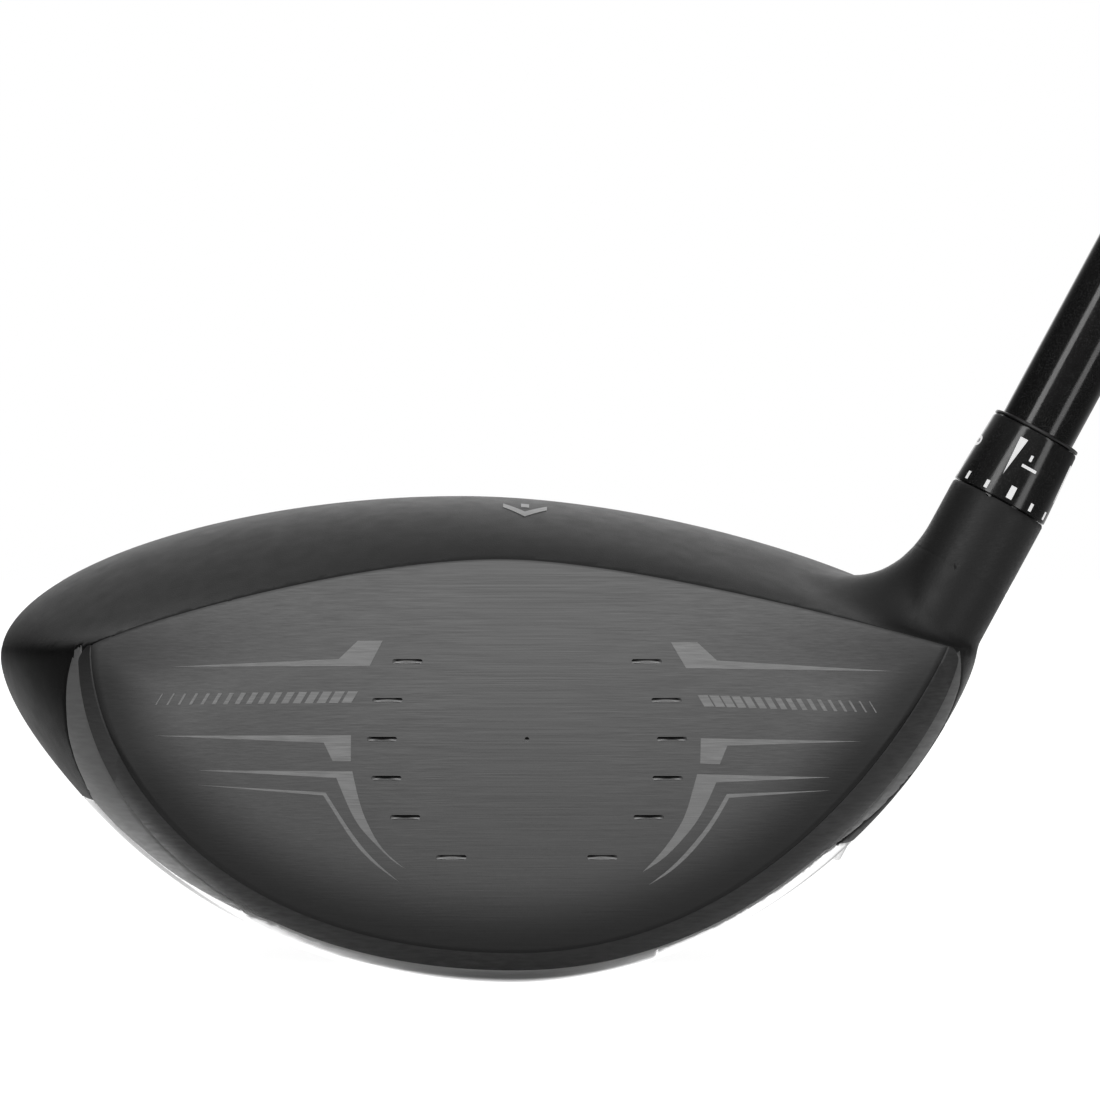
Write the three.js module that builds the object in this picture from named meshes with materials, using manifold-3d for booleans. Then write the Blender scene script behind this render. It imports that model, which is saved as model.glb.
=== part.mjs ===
// Adjustable golf driver, right-handed, standing at address. Millimetres.
// +X from toe to heel, +Y from face to back, +Z up. The origin is where the sole's flat rests on the ground,
// in line with the face centre. The head is drawn about the face centre and set back from it at the end.
import * as THREE from 'three';
import Module from 'manifold-3d';

const wasm = await Module();
wasm.setup();

// ---------------------------------------------------------------- driving dimensions

// Head guides. Each row is one section across the head: the depth behind the face line, the toe and heel
// limits in X, the crown and sole limits in Z, the height of the equator, and the X of crown apex and keel.
const HEAD_SECTIONS = [
  { depth: 2.3, toe: -60.2, heel: 57.9, crown: 58.2, sole: 2.6, equator: 44.8, apex: -3.9, keel: -1.6 },
  { depth: 10, toe: -65.5, heel: 60.2, crown: 61.4, sole: 0.7, equator: 44.0, apex: -6.0, keel: -2.2 },
  { depth: 25, toe: -71.6, heel: 61.6, crown: 64.6, sole: -0.4, equator: 43.5, apex: -8.6, keel: -2.6 },
  { depth: 45, toe: -74.2, heel: 60.8, crown: 65.4, sole: 0.6, equator: 42.5, apex: -9.7, keel: -3.4 },
  { depth: 65, toe: -70.2, heel: 55.0, crown: 61.6, sole: 4.0, equator: 39.0, apex: -9.5, keel: -4.5 },
  { depth: 85, toe: -58.2, heel: 42.0, crown: 51.8, sole: 8.8, equator: 33.2, apex: -9.0, keel: -6.0 },
  { depth: 100, toe: -41.5, heel: 25.0, crown: 40.6, sole: 13.6, equator: 28.0, apex: -8.5, keel: -7.0 },
  { depth: 111, toe: -8.0, heel: -8.0, crown: 22.0, sole: 22.0, equator: 22.0, apex: -8.0, keel: -8.0 },
];
// Fullness of each quarter of a section: how far its curve keeps upright at the equator (up) and level at
// the crown or keel (along), as fractions of the quarter's height and width.
const FULLNESS = [
  {
    depth: 2.3, crownToe: [0.12, 0.41], crownHeel: [0.04, 0.34],
    soleHeel: [0.2, 0.63], soleToe: [0.5, 0.64],
  },
  {
    depth: 10, crownToe: [0.25, 0.44], crownHeel: [0.14, 0.38],
    soleHeel: [0.15, 0.66], soleToe: [0.35, 0.69],
  },
  {
    depth: 25, crownToe: [0.45, 0.49], crownHeel: [0.3, 0.43],
    soleHeel: [0.1, 0.69], soleToe: [0.2, 0.7],
  },
  {
    depth: 45, crownToe: [0.55, 0.51], crownHeel: [0.39, 0.45],
    soleHeel: [0.2, 0.62], soleToe: [0.3, 0.56],
  },
  {
    depth: 65, crownToe: [0.55, 0.52], crownHeel: [0.5, 0.5],
    soleHeel: [0.35, 0.54], soleToe: [0.38, 0.52],
  },
  {
    depth: 85, crownToe: [0.55, 0.55], crownHeel: [0.55, 0.54],
    soleHeel: [0.45, 0.53], soleToe: [0.45, 0.53],
  },
  {
    depth: 111, crownToe: [0.55, 0.55], crownHeel: [0.55, 0.55],
    soleHeel: [0.52, 0.55], soleToe: [0.52, 0.55],
  },
];
const FACE_EDGE = {
  toe: -58.2, heel: 56.1, crown: 56.8, sole: 5.2, equator: 45.2, apex: -3.6, keel: -1.5,
  crownToe: [0.1, 0.4], crownHeel: [0.01, 0.32], soleHeel: [0.01, 0.67], soleToe: [0.38, 0.71],
};
const DEPTH_CENTRE = 48; // the sections are spaced by an angle on a circle about this depth
const DEPTH_RADIUS = 63;
const FACE_LOFT = THREE.MathUtils.degToRad(9.5);
const FACE_CENTRE_Z = 33.1;
const FACE_BULGE_R = 310;
const FACE_ROLL_R = 300;
const RIM_DEPTH = 2.3; // depth of the face cup's outer edge behind the face edge
const FACE_INFLUENCE = 60; // depth at which the face's curvature has faded out

const SHELL_WALL = 1.8;
const SHELL_START = 2.6; // depth at which the body begins, just behind the face cup
const BACK_DEPTH = 111;
const PANEL_WALL = 0.9;
const GAP = 0.3;
const LEDGE_WIDTH = 7; // bonding ledge that carries the crown plate
const LEDGE_DEPTH = 3.2;
const CUT_CLEARANCE = 3; // how far a cutter reaches past the surface it cuts
const RIB = {
  xs: [-34, -12, 12], middleX: -12, middleZ: 4, sideZ: 6.5, y: 46, width: 1.2, length: 62, height: 9,
};
const GROUND_BLOCK = { x: 80, y: 60, z: 4 };
const FACE_LIP_LENGTH = 9;
const FACE_LIP_WALL = 1.2;
const SCORE_LINE = { length: 4, width: 0.6, depth: 0.4 };
const SCORE_LINES = [ // height on the face, and the distance of each pair's middles from the centre
  { z: 43.3, x: 15.8 }, { z: 38.2, x: 18.4 }, { z: 33.1, x: 19.1 },
  { z: 28.0, x: 18.5 }, { z: 22.9, x: 16.0 }, { z: 17.7, x: 9.9 },
];

const LIE = THREE.MathUtils.degToRad(61.5);
const HOSEL_TOP = [63.7, 17, 64.4];
const HOSEL_R = 6.8;
const HOSEL_INNER_R = 8.5; // the tube inside the head
const HOSEL_BORE_R = 6.0;
const HOSEL_TUBE = { low: -75, high: -22 }; // heights from the hosel top of the tube inside the head
const NECK_DEPTH = 30;
const FLARE = { // the fillet from hosel to crown: height above the ground, and its reach towards the toe
  steps: [[62.5, 0], [60.5, 0.5], [58.3, 1.2], [56.6, 2.5], [55.5, 4.7], [54, 8.8], [50, 13], [44, 14]],
  facets: 20, turn: 0.35, sharpness: 1.5, sunk: 0.3,
};
const ROUND = 36; // facets of a round part, so that 30 degree index steps line up
const SLEEVE = {
  collarHeight: 10.5, collarTopR: 6.28, stemR: 5.75, rootR: 5.0, stemLength: 40,
  splineTop: 30, splineBottom: 36, splines: 12, splineWidth: 1.6, boreR: 4.7, boreDepth: 29, mouthR: 5.6,
  mouthDepth: 5, endBoreR: 3.8, endBoreDepth: 9,
};
const TRIM_RING = { innerR: 5.75, outerR: 6.25, low: 0.1, high: 0.6 }; // heights above the collar
const THREAD_INSERT = { outerR: 3.5, low: -39.8, high: -31.4 };
const END_WASHER = { innerR: 3.2, outerR: 5.4, low: -41.4, high: -40.6 };
const CLIP = { outerR: 4.6, low: -43.6, high: -42.8, slot: 2.4 };
const SEAT_WASHER = { outerR: 4.8, low: -48.1, high: -47.2 };
const SPLINE_RING = { outerR: 6.5, innerR: 6.05, toothTipR: 5.35, toothWidth: 0.7 };
const SCREW_SEAT = { top: 44, bottom: 47 }; // distances below the hosel top
const SCREW = {
  headR: 4.2, headTop: 48.3, headBottom: 53, shankR: 2.5, shankTop: 32, socketR: 2.2, socketDepth: 1.5,
};
const SCREW_PORT_R = 5.6;
const SCREW_PORT_END = -80;

const SHAFT_CANT = THREE.MathUtils.degToRad(1);
const CANT_PIVOT = -10; // height of the canted bore's pivot, above (+) or below (-) the hosel top
const CLUB_LENGTH = 1149; // along the shaft, from the ground to the end of the grip
const SHAFT_TIP_R = 4.4;
const SHAFT_R = 5.2;
const SHAFT_BUTT_R = 7.6;
const SHAFT_WALL = 1.1;
const SHAFT_TIP_DEPTH = 27;
const GRIP_LENGTH = 268;
const GRIP_MOUTH_R = 10.2;
const GRIP_BUTT_R = 13.2;
const GRIP_TAPE_WALL = 0.4;
const GRIP_CAP_HEIGHT = 2.7;
const GRIP_VENT_R = 1.5;
const TIP_PLUG = { low: 1.6, high: 0.3 }; // depths below the shaft's tip

const REAR_WEIGHT = {
  depth: 91, radius: 9, thickness: 5, pocketDepth: 6, gap: 0.9, chamfer: 0.8,
  holeR: 2.3, web: 1.6, screwHeadR: 4,
};
const WEIGHT_SCREW = {
  shankR: 2.0, shankLength: 8.2, headHeight: 2.6, socketR: 1.9, socketDepth: 1.7, chamfer: 0.5,
};
const WEIGHT_BOSS = { wall: 2.2, depth: 7, boreR: 3.6 };
const WEIGHT_GASKET = { innerR: 4.2, low: 0.1, high: 0.7 };
const THREAD_BUSH = { innerR: 2.3, outerR: 3.3, low: 7, high: 0.2 }; // depths below the pocket floor
const SOLE_REST_Y = 23; // the sole touches the ground this far behind the face centre

// ---------------------------------------------------------------- colours

const MATT_BLACK = { color: 0x3a3a3b, roughness: 0.5, metalness: 0.2 };
const DARK_FACE = { color: 0x5e5f60, roughness: 0.4, metalness: 0.8 };
const GREY_PANEL = { color: 0x8f9091, roughness: 0.35, metalness: 0.7 };
const BRIGHT_METAL = { color: 0xd5d6d8, roughness: 0.25, metalness: 1 };
const GLOSS_BLACK = { color: 0x111112, roughness: 0.12, metalness: 0.1 };
const STEEL = { color: 0xa8a9ab, roughness: 0.3, metalness: 1 };
const BRASS = { color: 0xb8985a, roughness: 0.35, metalness: 1 };
const RUBBER = { color: 0x1c1c1d, roughness: 0.85, metalness: 0 };
const TAPE = { color: 0xd8d2bf, roughness: 0.8, metalness: 0 };

// ---------------------------------------------------------------- solids and meshes

/** Indexed geometry without repeated corners or collapsed triangles, turned so that it faces outwards. */
function weld(geometry) {
  const source = geometry.getAttribute('position');
  const order = geometry.index ? [...geometry.index.array] : [...Array(source.count).keys()];
  const seen = new Map();
  const places = [];
  const renumbered = [];
  for (let i = 0; i < source.count; i++) {
    const place = [source.getX(i), source.getY(i), source.getZ(i)];
    const key = place.map((v) => Math.round(v * 1e4)).join();
    if (!seen.has(key)) {
      seen.set(key, places.length / 3);
      places.push(...place);
    }
    renumbered.push(seen.get(key));
  }
  const faces = [];
  for (let i = 0; i < order.length; i += 3) {
    const [a, b, c] = [0, 1, 2].map((k) => renumbered[order[i + k]]);
    if (a !== b && b !== c && c !== a) faces.push(a, b, c);
  }
  const welded = new THREE.BufferGeometry();
  welded.setAttribute('position', new THREE.Float32BufferAttribute(places, 3));
  welded.setIndex(signedVolume(places, faces) < 0 ? faces.reverse() : faces);
  return welded;
}

function signedVolume(places, faces) {
  const corner = (i) => new THREE.Vector3().fromArray(places, 3 * i);
  let six = 0;
  for (let i = 0; i < faces.length; i += 3) {
    six += corner(faces[i]).dot(corner(faces[i + 1]).cross(corner(faces[i + 2])));
  }
  return six / 6;
}

function solid(geometry, matrix) {
  const welded = weld(geometry);
  if (matrix) welded.applyMatrix4(matrix);
  return new wasm.Manifold(new wasm.Mesh({
    numProp: 3,
    vertProperties: new Float32Array(welded.getAttribute('position').array),
    triVerts: new Uint32Array(welded.index.array),
  }));
}

function geometryOf(manifold) {
  const { vertProperties, triVerts } = manifold.getMesh();
  const geometry = new THREE.BufferGeometry();
  geometry.setAttribute('position', new THREE.Float32BufferAttribute(vertProperties, 3));
  geometry.setIndex([...triVerts]);
  return weld(geometry);
}

function mesh(name, shape, finish) {
  const geometry = shape.isBufferGeometry ? weld(shape) : geometryOf(shape);
  geometry.computeVertexNormals();
  const made = new THREE.Mesh(geometry, new THREE.MeshStandardMaterial(finish));
  made.name = name;
  return made;
}

/** The main piece of a cut solid, without the slivers that crossing surfaces can leave. */
function mainPiece(manifold) {
  return manifold.decompose().reduce((best, piece) => (piece.volume() > best.volume() ? piece : best));
}

/** A body of revolution about +Z. The profile is a closed loop of [radius, height] corners. */
function turned(profile, segments = ROUND) {
  const corners = [...profile, profile[0]].map(([r, h]) => new THREE.Vector2(r, h));
  return new THREE.LatheGeometry(corners, segments).rotateX(Math.PI / 2);
}

function ring(innerR, outerR, low, high) {
  return turned([[innerR, low], [outerR, low], [outerR, high], [innerR, high]]);
}

function rod(radius, low, high) {
  return turned([[0, low], [radius, low], [radius, high], [0, high]]);
}

// ---------------------------------------------------------------- the head's outer surface

/** Natural cubic spline through (xs, ys), as a function of x. */
function spline(xs, ys) {
  const n = xs.length;
  const bend = Array(n).fill(0);
  const pivot = Array(n).fill(0);
  for (let i = 1; i < n - 1; i++) {
    const h0 = xs[i] - xs[i - 1];
    const h1 = xs[i + 1] - xs[i];
    const slopeChange = 6 * ((ys[i + 1] - ys[i]) / h1 - (ys[i] - ys[i - 1]) / h0);
    const diagonal = 2 * (h0 + h1) - h0 * pivot[i - 1];
    pivot[i] = h1 / diagonal;
    bend[i] = (slopeChange - h0 * bend[i - 1]) / diagonal;
  }
  for (let i = n - 2; i > 0; i--) bend[i] -= pivot[i] * bend[i + 1];
  return (x) => {
    let i = 1;
    while (i < n - 1 && x > xs[i]) i++;
    const h = xs[i] - xs[i - 1];
    const a = (xs[i] - x) / h;
    const b = 1 - a;
    return a * ys[i - 1] + b * ys[i]
      + ((a ** 3 - a) * bend[i - 1] + (b ** 3 - b) * bend[i]) * h * h / 6;
  };
}

const angleOf = (depth) => Math.acos(THREE.MathUtils.clamp((DEPTH_CENTRE - depth) / DEPTH_RADIUS, -1, 1));
const depthOf = (angle) => DEPTH_CENTRE - DEPTH_RADIUS * Math.cos(angle);
const QUARTERS = ['crownToe', 'crownHeel', 'soleHeel', 'soleToe'];

function guide(rows, read) {
  return spline(rows.map((row) => angleOf(row.depth)), rows.map(read));
}

const limitGuides = Object.fromEntries(['toe', 'heel', 'crown', 'sole', 'equator', 'apex', 'keel']
  .map((key) => [key, guide(HEAD_SECTIONS, (row) => row[key])]));
const fullnessGuides = Object.fromEntries(QUARTERS
  .map((key) => [key, [0, 1].map((i) => guide(FULLNESS, (row) => row[key][i]))]));

function sectionAt(angle) {
  const limits = Object.entries(limitGuides).map(([key, at]) => [key, at(angle)]);
  const fullness = QUARTERS.map((key) => [key, fullnessGuides[key].map((at) => at(angle))]);
  return Object.fromEntries([...limits, ...fullness]);
}

/** X and Z on a section. turn runs 0 toe, 1 crown, 2 heel, 3 keel, 4 toe again. */
function onSection(section, turn) {
  const quarter = Math.floor(turn) % 4;
  const part = turn - Math.floor(turn);
  const [up, along] = section[QUARTERS[quarter]];
  const side = quarter === 0 || quarter === 3 ? section.toe : section.heel;
  const [middleX, middleZ] = quarter < 2 ? [section.apex, section.crown] : [section.keel, section.sole];
  const curve = new THREE.CubicBezierCurve(
    new THREE.Vector2(side, section.equator),
    new THREE.Vector2(side, section.equator + up * (middleZ - section.equator)),
    new THREE.Vector2(middleX + along * (side - middleX), middleZ),
    new THREE.Vector2(middleX, middleZ),
  );
  const towardsMiddle = quarter % 2 === 0 ? part : 1 - part;
  return curve.getPoint(towardsMiddle);
}

function faceDepth(x, z) {
  const height = z - FACE_CENTRE_Z;
  return Math.tan(FACE_LOFT) * height + x * x / (2 * FACE_BULGE_R) + height * height / (2 * FACE_ROLL_R);
}

function placed(x, z, depth) {
  const fade = Math.max(0, 1 - depth / FACE_INFLUENCE) ** 2;
  return new THREE.Vector3(x, depth + fade * faceDepth(x, z), z);
}

function surfacePoint(angle, turn) {
  const { x, y: z } = onSection(sectionAt(angle), turn);
  return placed(x, z, depthOf(angle));
}

function surfaceNormal(angle, turn) {
  const step = 1e-3;
  const safe = Math.min(angle, Math.PI - 0.02);
  const alongDepth = surfacePoint(safe + step, turn).sub(surfacePoint(safe - step, turn));
  const around = surfacePoint(safe, (turn + step) % 4).sub(surfacePoint(safe, (turn - step + 4) % 4));
  return around.cross(alongDepth).normalize();
}

/** A point on the head's surface, moved along the outward normal. */
function offsetPoint(angle, turn, offset) {
  const point = surfacePoint(angle, turn);
  return offset === 0 ? point : point.addScaledVector(surfaceNormal(angle, turn), offset);
}

const AROUND = 40;
const BACK_STEPS = 12;

/** Closed solid from rings of points, each fanned shut at its first and last ring. */
function lofted(rings) {
  const count = rings[0].length;
  const places = rings.flat().flatMap((p) => p.toArray());
  const faces = [];
  for (let i = 0; i + 1 < rings.length; i++) {
    for (let j = 0; j < count; j++) {
      const a = i * count + j;
      const b = i * count + (j + 1) % count;
      faces.push(a, b, a + count, b, b + count, a + count);
    }
  }
  for (const end of [0, rings.length - 1]) {
    const centre = rings[end].reduce((sum, p) => sum.add(p), new THREE.Vector3()).divideScalar(count);
    const middle = places.push(...centre.toArray()) / 3 - 1;
    for (let j = 0; j < count; j++) {
      const a = end * count + j;
      const b = end * count + (j + 1) % count;
      faces.push(...(end === 0 ? [middle, b, a] : [middle, a, b]));
    }
  }
  const geometry = new THREE.BufferGeometry();
  geometry.setAttribute('position', new THREE.Float32BufferAttribute(places, 3));
  geometry.setIndex(faces);
  return geometry;
}

/** The whole head between two depths, inside the outer surface by inset, and lengthened forwards. */
function headVolume(fromDepth, toDepth, inset = 0, forward = 0, steps = BACK_STEPS) {
  const from = angleOf(fromDepth);
  const to = Math.min(angleOf(toDepth), Math.PI - 0.05);
  const rings = [];
  for (let i = 0; i <= steps; i++) {
    const angle = from + (to - from) * i / steps;
    rings.push([...Array(AROUND).keys()].map((j) => offsetPoint(angle, 4 * j / AROUND, -inset)));
  }
  if (forward) rings.unshift(rings[0].map((p) => p.clone().add(new THREE.Vector3(0, -forward, 0))));
  return solid(lofted(rings));
}

/** A plate that follows the surface. Depth limits are functions of the turn. */
function plate({ turns, steps, from, to, outer, inner }) {
  const [across, back] = steps;
  const sheet = (offset) => [...Array(back + 1).keys()].map((i) => [...Array(across + 1).keys()].map((j) => {
    const turn = turns[0] + (turns[1] - turns[0]) * j / across;
    const angle = angleOf(from(turn)) + (angleOf(to(turn)) - angleOf(from(turn))) * i / back;
    return offsetPoint(angle, (turn + 4) % 4, offset);
  }));
  const top = sheet(outer);
  const bottom = sheet(inner);
  const rings = top.map((row, i) => [...row, ...bottom[i].reverse()]);
  return solid(stripped(rings));
}

/** Closed solid from matching loops whose two halves face each other. */
function stripped(rings) {
  const count = rings[0].length;
  const places = rings.flat().flatMap((p) => p.toArray());
  const faces = [];
  for (let i = 0; i + 1 < rings.length; i++) {
    for (let j = 0; j < count; j++) {
      const a = i * count + j;
      const b = i * count + (j + 1) % count;
      faces.push(a, b, a + count, b, b + count, a + count);
    }
  }
  for (const end of [0, rings.length - 1]) {
    for (let j = 0; j < count / 2 - 1; j++) {
      const near = end * count + j;
      const far = end * count + count - 1 - j;
      const quad = [near, far, near + 1, near + 1, far, far - 1];
      faces.push(...(end === 0 ? quad : quad.reverse()));
    }
  }
  const geometry = new THREE.BufferGeometry();
  geometry.setAttribute('position', new THREE.Float32BufferAttribute(places, 3));
  geometry.setIndex(faces);
  return geometry;
}

// ---------------------------------------------------------------- frames of the hosel and the rear weight

const hoselTurn = new THREE.Quaternion().setFromAxisAngle(new THREE.Vector3(0, 1, 0), Math.PI / 2 - LIE);
const hoselMatrix = new THREE.Matrix4()
  .compose(new THREE.Vector3(...HOSEL_TOP), hoselTurn, new THREE.Vector3(1, 1, 1));
const onHosel = (geometry) => solid(geometry, hoselMatrix);

function rearWeightMatrix() {
  const angle = angleOf(REAR_WEIGHT.depth);
  const outward = surfaceNormal(angle, 3);
  const turn = new THREE.Quaternion().setFromUnitVectors(new THREE.Vector3(0, 0, 1), outward);
  return new THREE.Matrix4().compose(surfacePoint(angle, 3), turn, new THREE.Vector3(1, 1, 1));
}
const weightMatrix = rearWeightMatrix();
const atWeight = (geometry) => solid(geometry, weightMatrix);

// ---------------------------------------------------------------- head pieces

const CROWN = { turns: [0.1, 1.9], from: () => 7, to: () => 103 };
const ledge = (region, width) => ({
  turns: [region.turns[0] + 0.08, region.turns[1] - 0.08],
  from: (t) => region.from(t) + width,
  to: (t) => region.to(t) - width,
});
const TOE_PANEL = { turns: [3.3, 3.9], from: () => 3, to: (t) => 6 + 14 * (3.9 - t) / 0.6 };
const CROWN_STOP_R = 19; // the crown plate ends on a circle about the hosel
const CROWN_STOP_LOW = -60;
const CROWN_STOP_HIGH = 9;
const HEEL_PANEL = { turns: [2.2, 2.72], from: () => 3, to: () => 6.2 };
const SOLE_PLATE = { turns: [2.75, 3.27], from: () => 3, to: () => 34 };

/** The widened copy of a plate's region that is cut from the body, with the clearance all round. */
function recess(region, steps, depth) {
  const spread = 0.012; // of a turn, about the same clearance as GAP
  return plate({
    turns: [region.turns[0] - spread, region.turns[1] + spread],
    from: (t) => Math.max(region.from(t) - GAP, RIM_DEPTH + 0.01),
    to: (t) => region.to(t) + GAP,
    steps, outer: CUT_CLEARANCE, inner: -depth - GAP,
  });
}

function hoselFlare() {
  const { steps, facets, turn, sharpness, sunk } = FLARE;
  const innerR = HOSEL_R - sunk; // inside the hosel where the fillet has no reach
  const rings = steps.map(([z, out]) => [...Array(facets).keys()].map((j) => {
    const a = 2 * Math.PI * j / facets;
    const towardsToe = Math.max(0, -Math.cos(a + turn)) ** sharpness;
    const middle = HOSEL_TOP[0] - (HOSEL_TOP[2] - z) / Math.tan(LIE);
    const reach = out * towardsToe;
    return new THREE.Vector3(
      middle + (innerR / Math.sin(LIE) + reach) * Math.cos(a),
      HOSEL_TOP[1] + (innerR + reach) * Math.sin(a),
      z,
    );
  }));
  return solid(lofted(rings));
}

function hoselBores() {
  const { splineTop, splineBottom } = SLEEVE;
  return onHosel(rod(HOSEL_BORE_R, -SCREW_SEAT.top, 5))
    .add(onHosel(rod(SPLINE_RING.outerR + GAP, -splineBottom - GAP, -splineTop + GAP)))
    .add(onHosel(rod(SCREW.shankR + GAP, -SCREW_SEAT.bottom - 1, -SCREW_SEAT.top + 1)))
    .add(onHosel(rod(SCREW_PORT_R, SCREW_PORT_END, -SCREW_SEAT.bottom)));
}

function soleRibs() {
  const { xs, middleX, middleZ, sideZ, y, width, length, height } = RIB;
  const ribs = xs.map((x) => {
    const rib = new THREE.BoxGeometry(width, length, height);
    return solid(rib, new THREE.Matrix4().makeTranslation(x, y, x === middleX ? middleZ : sideZ));
  });
  return ribs.reduce((all, rib) => all.add(rib));
}

function headShell() {
  const outer = headVolume(SHELL_START, BACK_DEPTH);
  const inner = headVolume(SHELL_START, BACK_DEPTH, SHELL_WALL, 12);
  const inside = headVolume(SHELL_START, BACK_DEPTH, SHELL_WALL / 3);
  const tube = onHosel(rod(HOSEL_INNER_R, HOSEL_TUBE.low, HOSEL_TUBE.high));
  const bossLow = -REAR_WEIGHT.pocketDepth - WEIGHT_BOSS.depth;
  const boss = atWeight(rod(REAR_WEIGHT.radius + WEIGHT_BOSS.wall, bossLow, 0));
  const neck = onHosel(rod(HOSEL_R, -NECK_DEPTH, 0)).add(hoselFlare());
  const neckTrim = faceSlab(RIM_DEPTH + GAP, 9, GAP).add(onHosel(rod(2 * HOSEL_R, 0, NECK_DEPTH)));
  return outer.subtract(inner)
    .add(tube.add(boss).add(soleRibs()).intersect(inside))
    .add(neck.subtract(inner.subtract(tube)).subtract(neckTrim));
}

function plateRecesses() {
  const inside = ledge(CROWN, LEDGE_WIDTH);
  const opening = plate({ ...inside, steps: [16, 10], outer: CUT_CLEARANCE, inner: -LEDGE_DEPTH });
  const aboutHosel = (radius) => onHosel(rod(radius, CROWN_STOP_LOW, CROWN_STOP_HIGH));
  const crown = recess(CROWN, [16, 10], PANEL_WALL).subtract(aboutHosel(CROWN_STOP_R - GAP));
  const cuts = [TOE_PANEL, HEEL_PANEL, SOLE_PLATE].map((region) => recess(region, [8, 3], PANEL_WALL));
  return [crown, opening.subtract(aboutHosel(CROWN_STOP_R + LEDGE_WIDTH)), ...cuts];
}

function headBody() {
  const bossLow = -REAR_WEIGHT.pocketDepth - WEIGHT_BOSS.depth;
  const cuts = [
    hoselBores(),
    ...plateRecesses(),
    atWeight(rod(REAR_WEIGHT.radius + GAP, -REAR_WEIGHT.pocketDepth, 2 * CUT_CLEARANCE)),
    atWeight(rod(WEIGHT_BOSS.boreR, bossLow - 1, 0)),
    belowGround(),
  ];
  return mainPiece(cuts.reduce((body, cut) => body.subtract(cut), headShell()));
}

/** Everything below the ground: cutting it leaves the small flat that the sole rests on. */
function belowGround() {
  const { x, y, z } = GROUND_BLOCK;
  return solid(new THREE.BoxGeometry(x, y, z), new THREE.Matrix4().makeTranslation(0, SOLE_REST_Y, -z / 2));
}

function crownPlate() {
  const whole = plate({ ...CROWN, steps: [16, 10], outer: 0, inner: -PANEL_WALL });
  return whole.subtract(onHosel(rod(CROWN_STOP_R, CROWN_STOP_LOW, CROWN_STOP_HIGH)));
}

/** The face plate, from its loft, bulge and roll back to backDepth. The other two enlarge it as a cutter. */
function faceSlab(backDepth = RIM_DEPTH, forward = 0, spread = 0) {
  const centre = new THREE.Vector2(0, FACE_CENTRE_Z);
  const shares = [0.02, 0.35, 0.7, 1];
  const outline = (section) => [...Array(AROUND).keys()].map((j) => {
    const { x, y: z } = onSection(section, 4 * j / AROUND);
    const out = new THREE.Vector2(x, z).sub(centre);
    return out.setLength(out.length() + spread).add(centre);
  });
  const sheet = (edge, order, depth, shift) => order.map((share) => edge.map((point) => {
    const q = centre.clone().lerp(point, share);
    return placed(q.x, q.y, depth).add(new THREE.Vector3(0, -shift, 0));
  }));
  const front = sheet(outline(FACE_EDGE), shares, 0, forward);
  const back = sheet(outline(sectionAt(angleOf(RIM_DEPTH))), [...shares].reverse(), backDepth, 0);
  return solid(lofted([...front, ...back]));
}

function faceCup() {
  const lipInset = SHELL_WALL + 2 * GAP;
  const lipOuter = headVolume(RIM_DEPTH, FACE_LIP_LENGTH, lipInset, 1.5, 2);
  const lipInner = headVolume(RIM_DEPTH, FACE_LIP_LENGTH + 2, lipInset + FACE_LIP_WALL, 4, 2);
  const lip = lipOuter.subtract(lipInner).subtract(onHosel(rod(HOSEL_INNER_R + 1, SCREW_PORT_END, -5)));
  return faceSlab().add(lip).subtract(scoreLines());
}

function scoreLines() {
  const { length, width, depth } = SCORE_LINE;
  const cuts = SCORE_LINES.flatMap(({ x, z }) => [-x, x].map((cx) => {
    const cut = new THREE.BoxGeometry(length, 2 * depth, width);
    return solid(cut, new THREE.Matrix4().makeTranslation(cx, faceDepth(cx, z), z));
  }));
  return cuts.reduce((all, cut) => all.add(cut));
}

function panel(region) {
  return plate({ ...region, steps: [8, 3], outer: 0, inner: -PANEL_WALL });
}

// ---------------------------------------------------------------- hosel pieces, heights from the hosel top

function teeth(count, innerR, outerR, width, low, high) {
  const tooth = new THREE.BoxGeometry(outerR - innerR, width, high - low);
  tooth.translate((innerR + outerR) / 2, 0, (low + high) / 2);
  return [...Array(count).keys()].map((i) => tooth.clone().rotateZ((i + 0.5) * 2 * Math.PI / count));
}

function adapterSleeve() {
  const s = SLEEVE;
  let sleeve = solid(turned([
    [0, -s.stemLength], [s.rootR, -s.stemLength], [s.rootR, -s.splineTop], [s.stemR, -s.splineTop],
    [s.stemR, GAP], [HOSEL_R, GAP], [s.collarTopR, s.collarHeight], [0, s.collarHeight],
  ]));
  const sunk = s.rootR - 0.4;
  const splines = teeth(s.splines, sunk, s.stemR - 0.05, s.splineWidth, -s.splineBottom, -s.splineTop);
  for (const spline of splines) sleeve = sleeve.add(solid(spline));
  const canted = cantMatrix();
  return sleeve
    .subtract(solid(rod(s.boreR, -s.boreDepth, 20), canted))
    .subtract(solid(rod(s.mouthR, s.collarHeight - s.mouthDepth, 20), canted))
    .subtract(solid(rod(s.endBoreR, -s.stemLength - 1, -s.stemLength + s.endBoreDepth)));
}

function splineRing() {
  const r = SPLINE_RING;
  const [low, high] = [-SLEEVE.splineBottom, -SLEEVE.splineTop - 0.4];
  let made = solid(ring(r.innerR, r.outerR, low, high));
  for (const tooth of teeth(SLEEVE.splines, r.toothTipR, r.innerR + 0.3, r.toothWidth, low, high)) {
    made = made.add(solid(tooth.rotateZ(Math.PI / SLEEVE.splines)));
  }
  return made;
}

/** A six-sided socket, open both ways from the height of the head's end. */
function hexSocket(radius, depth, height) {
  const prism = new THREE.CylinderGeometry(radius, radius, 2 * depth, 6);
  return prism.rotateX(Math.PI / 2).translate(0, 0, height);
}

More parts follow.
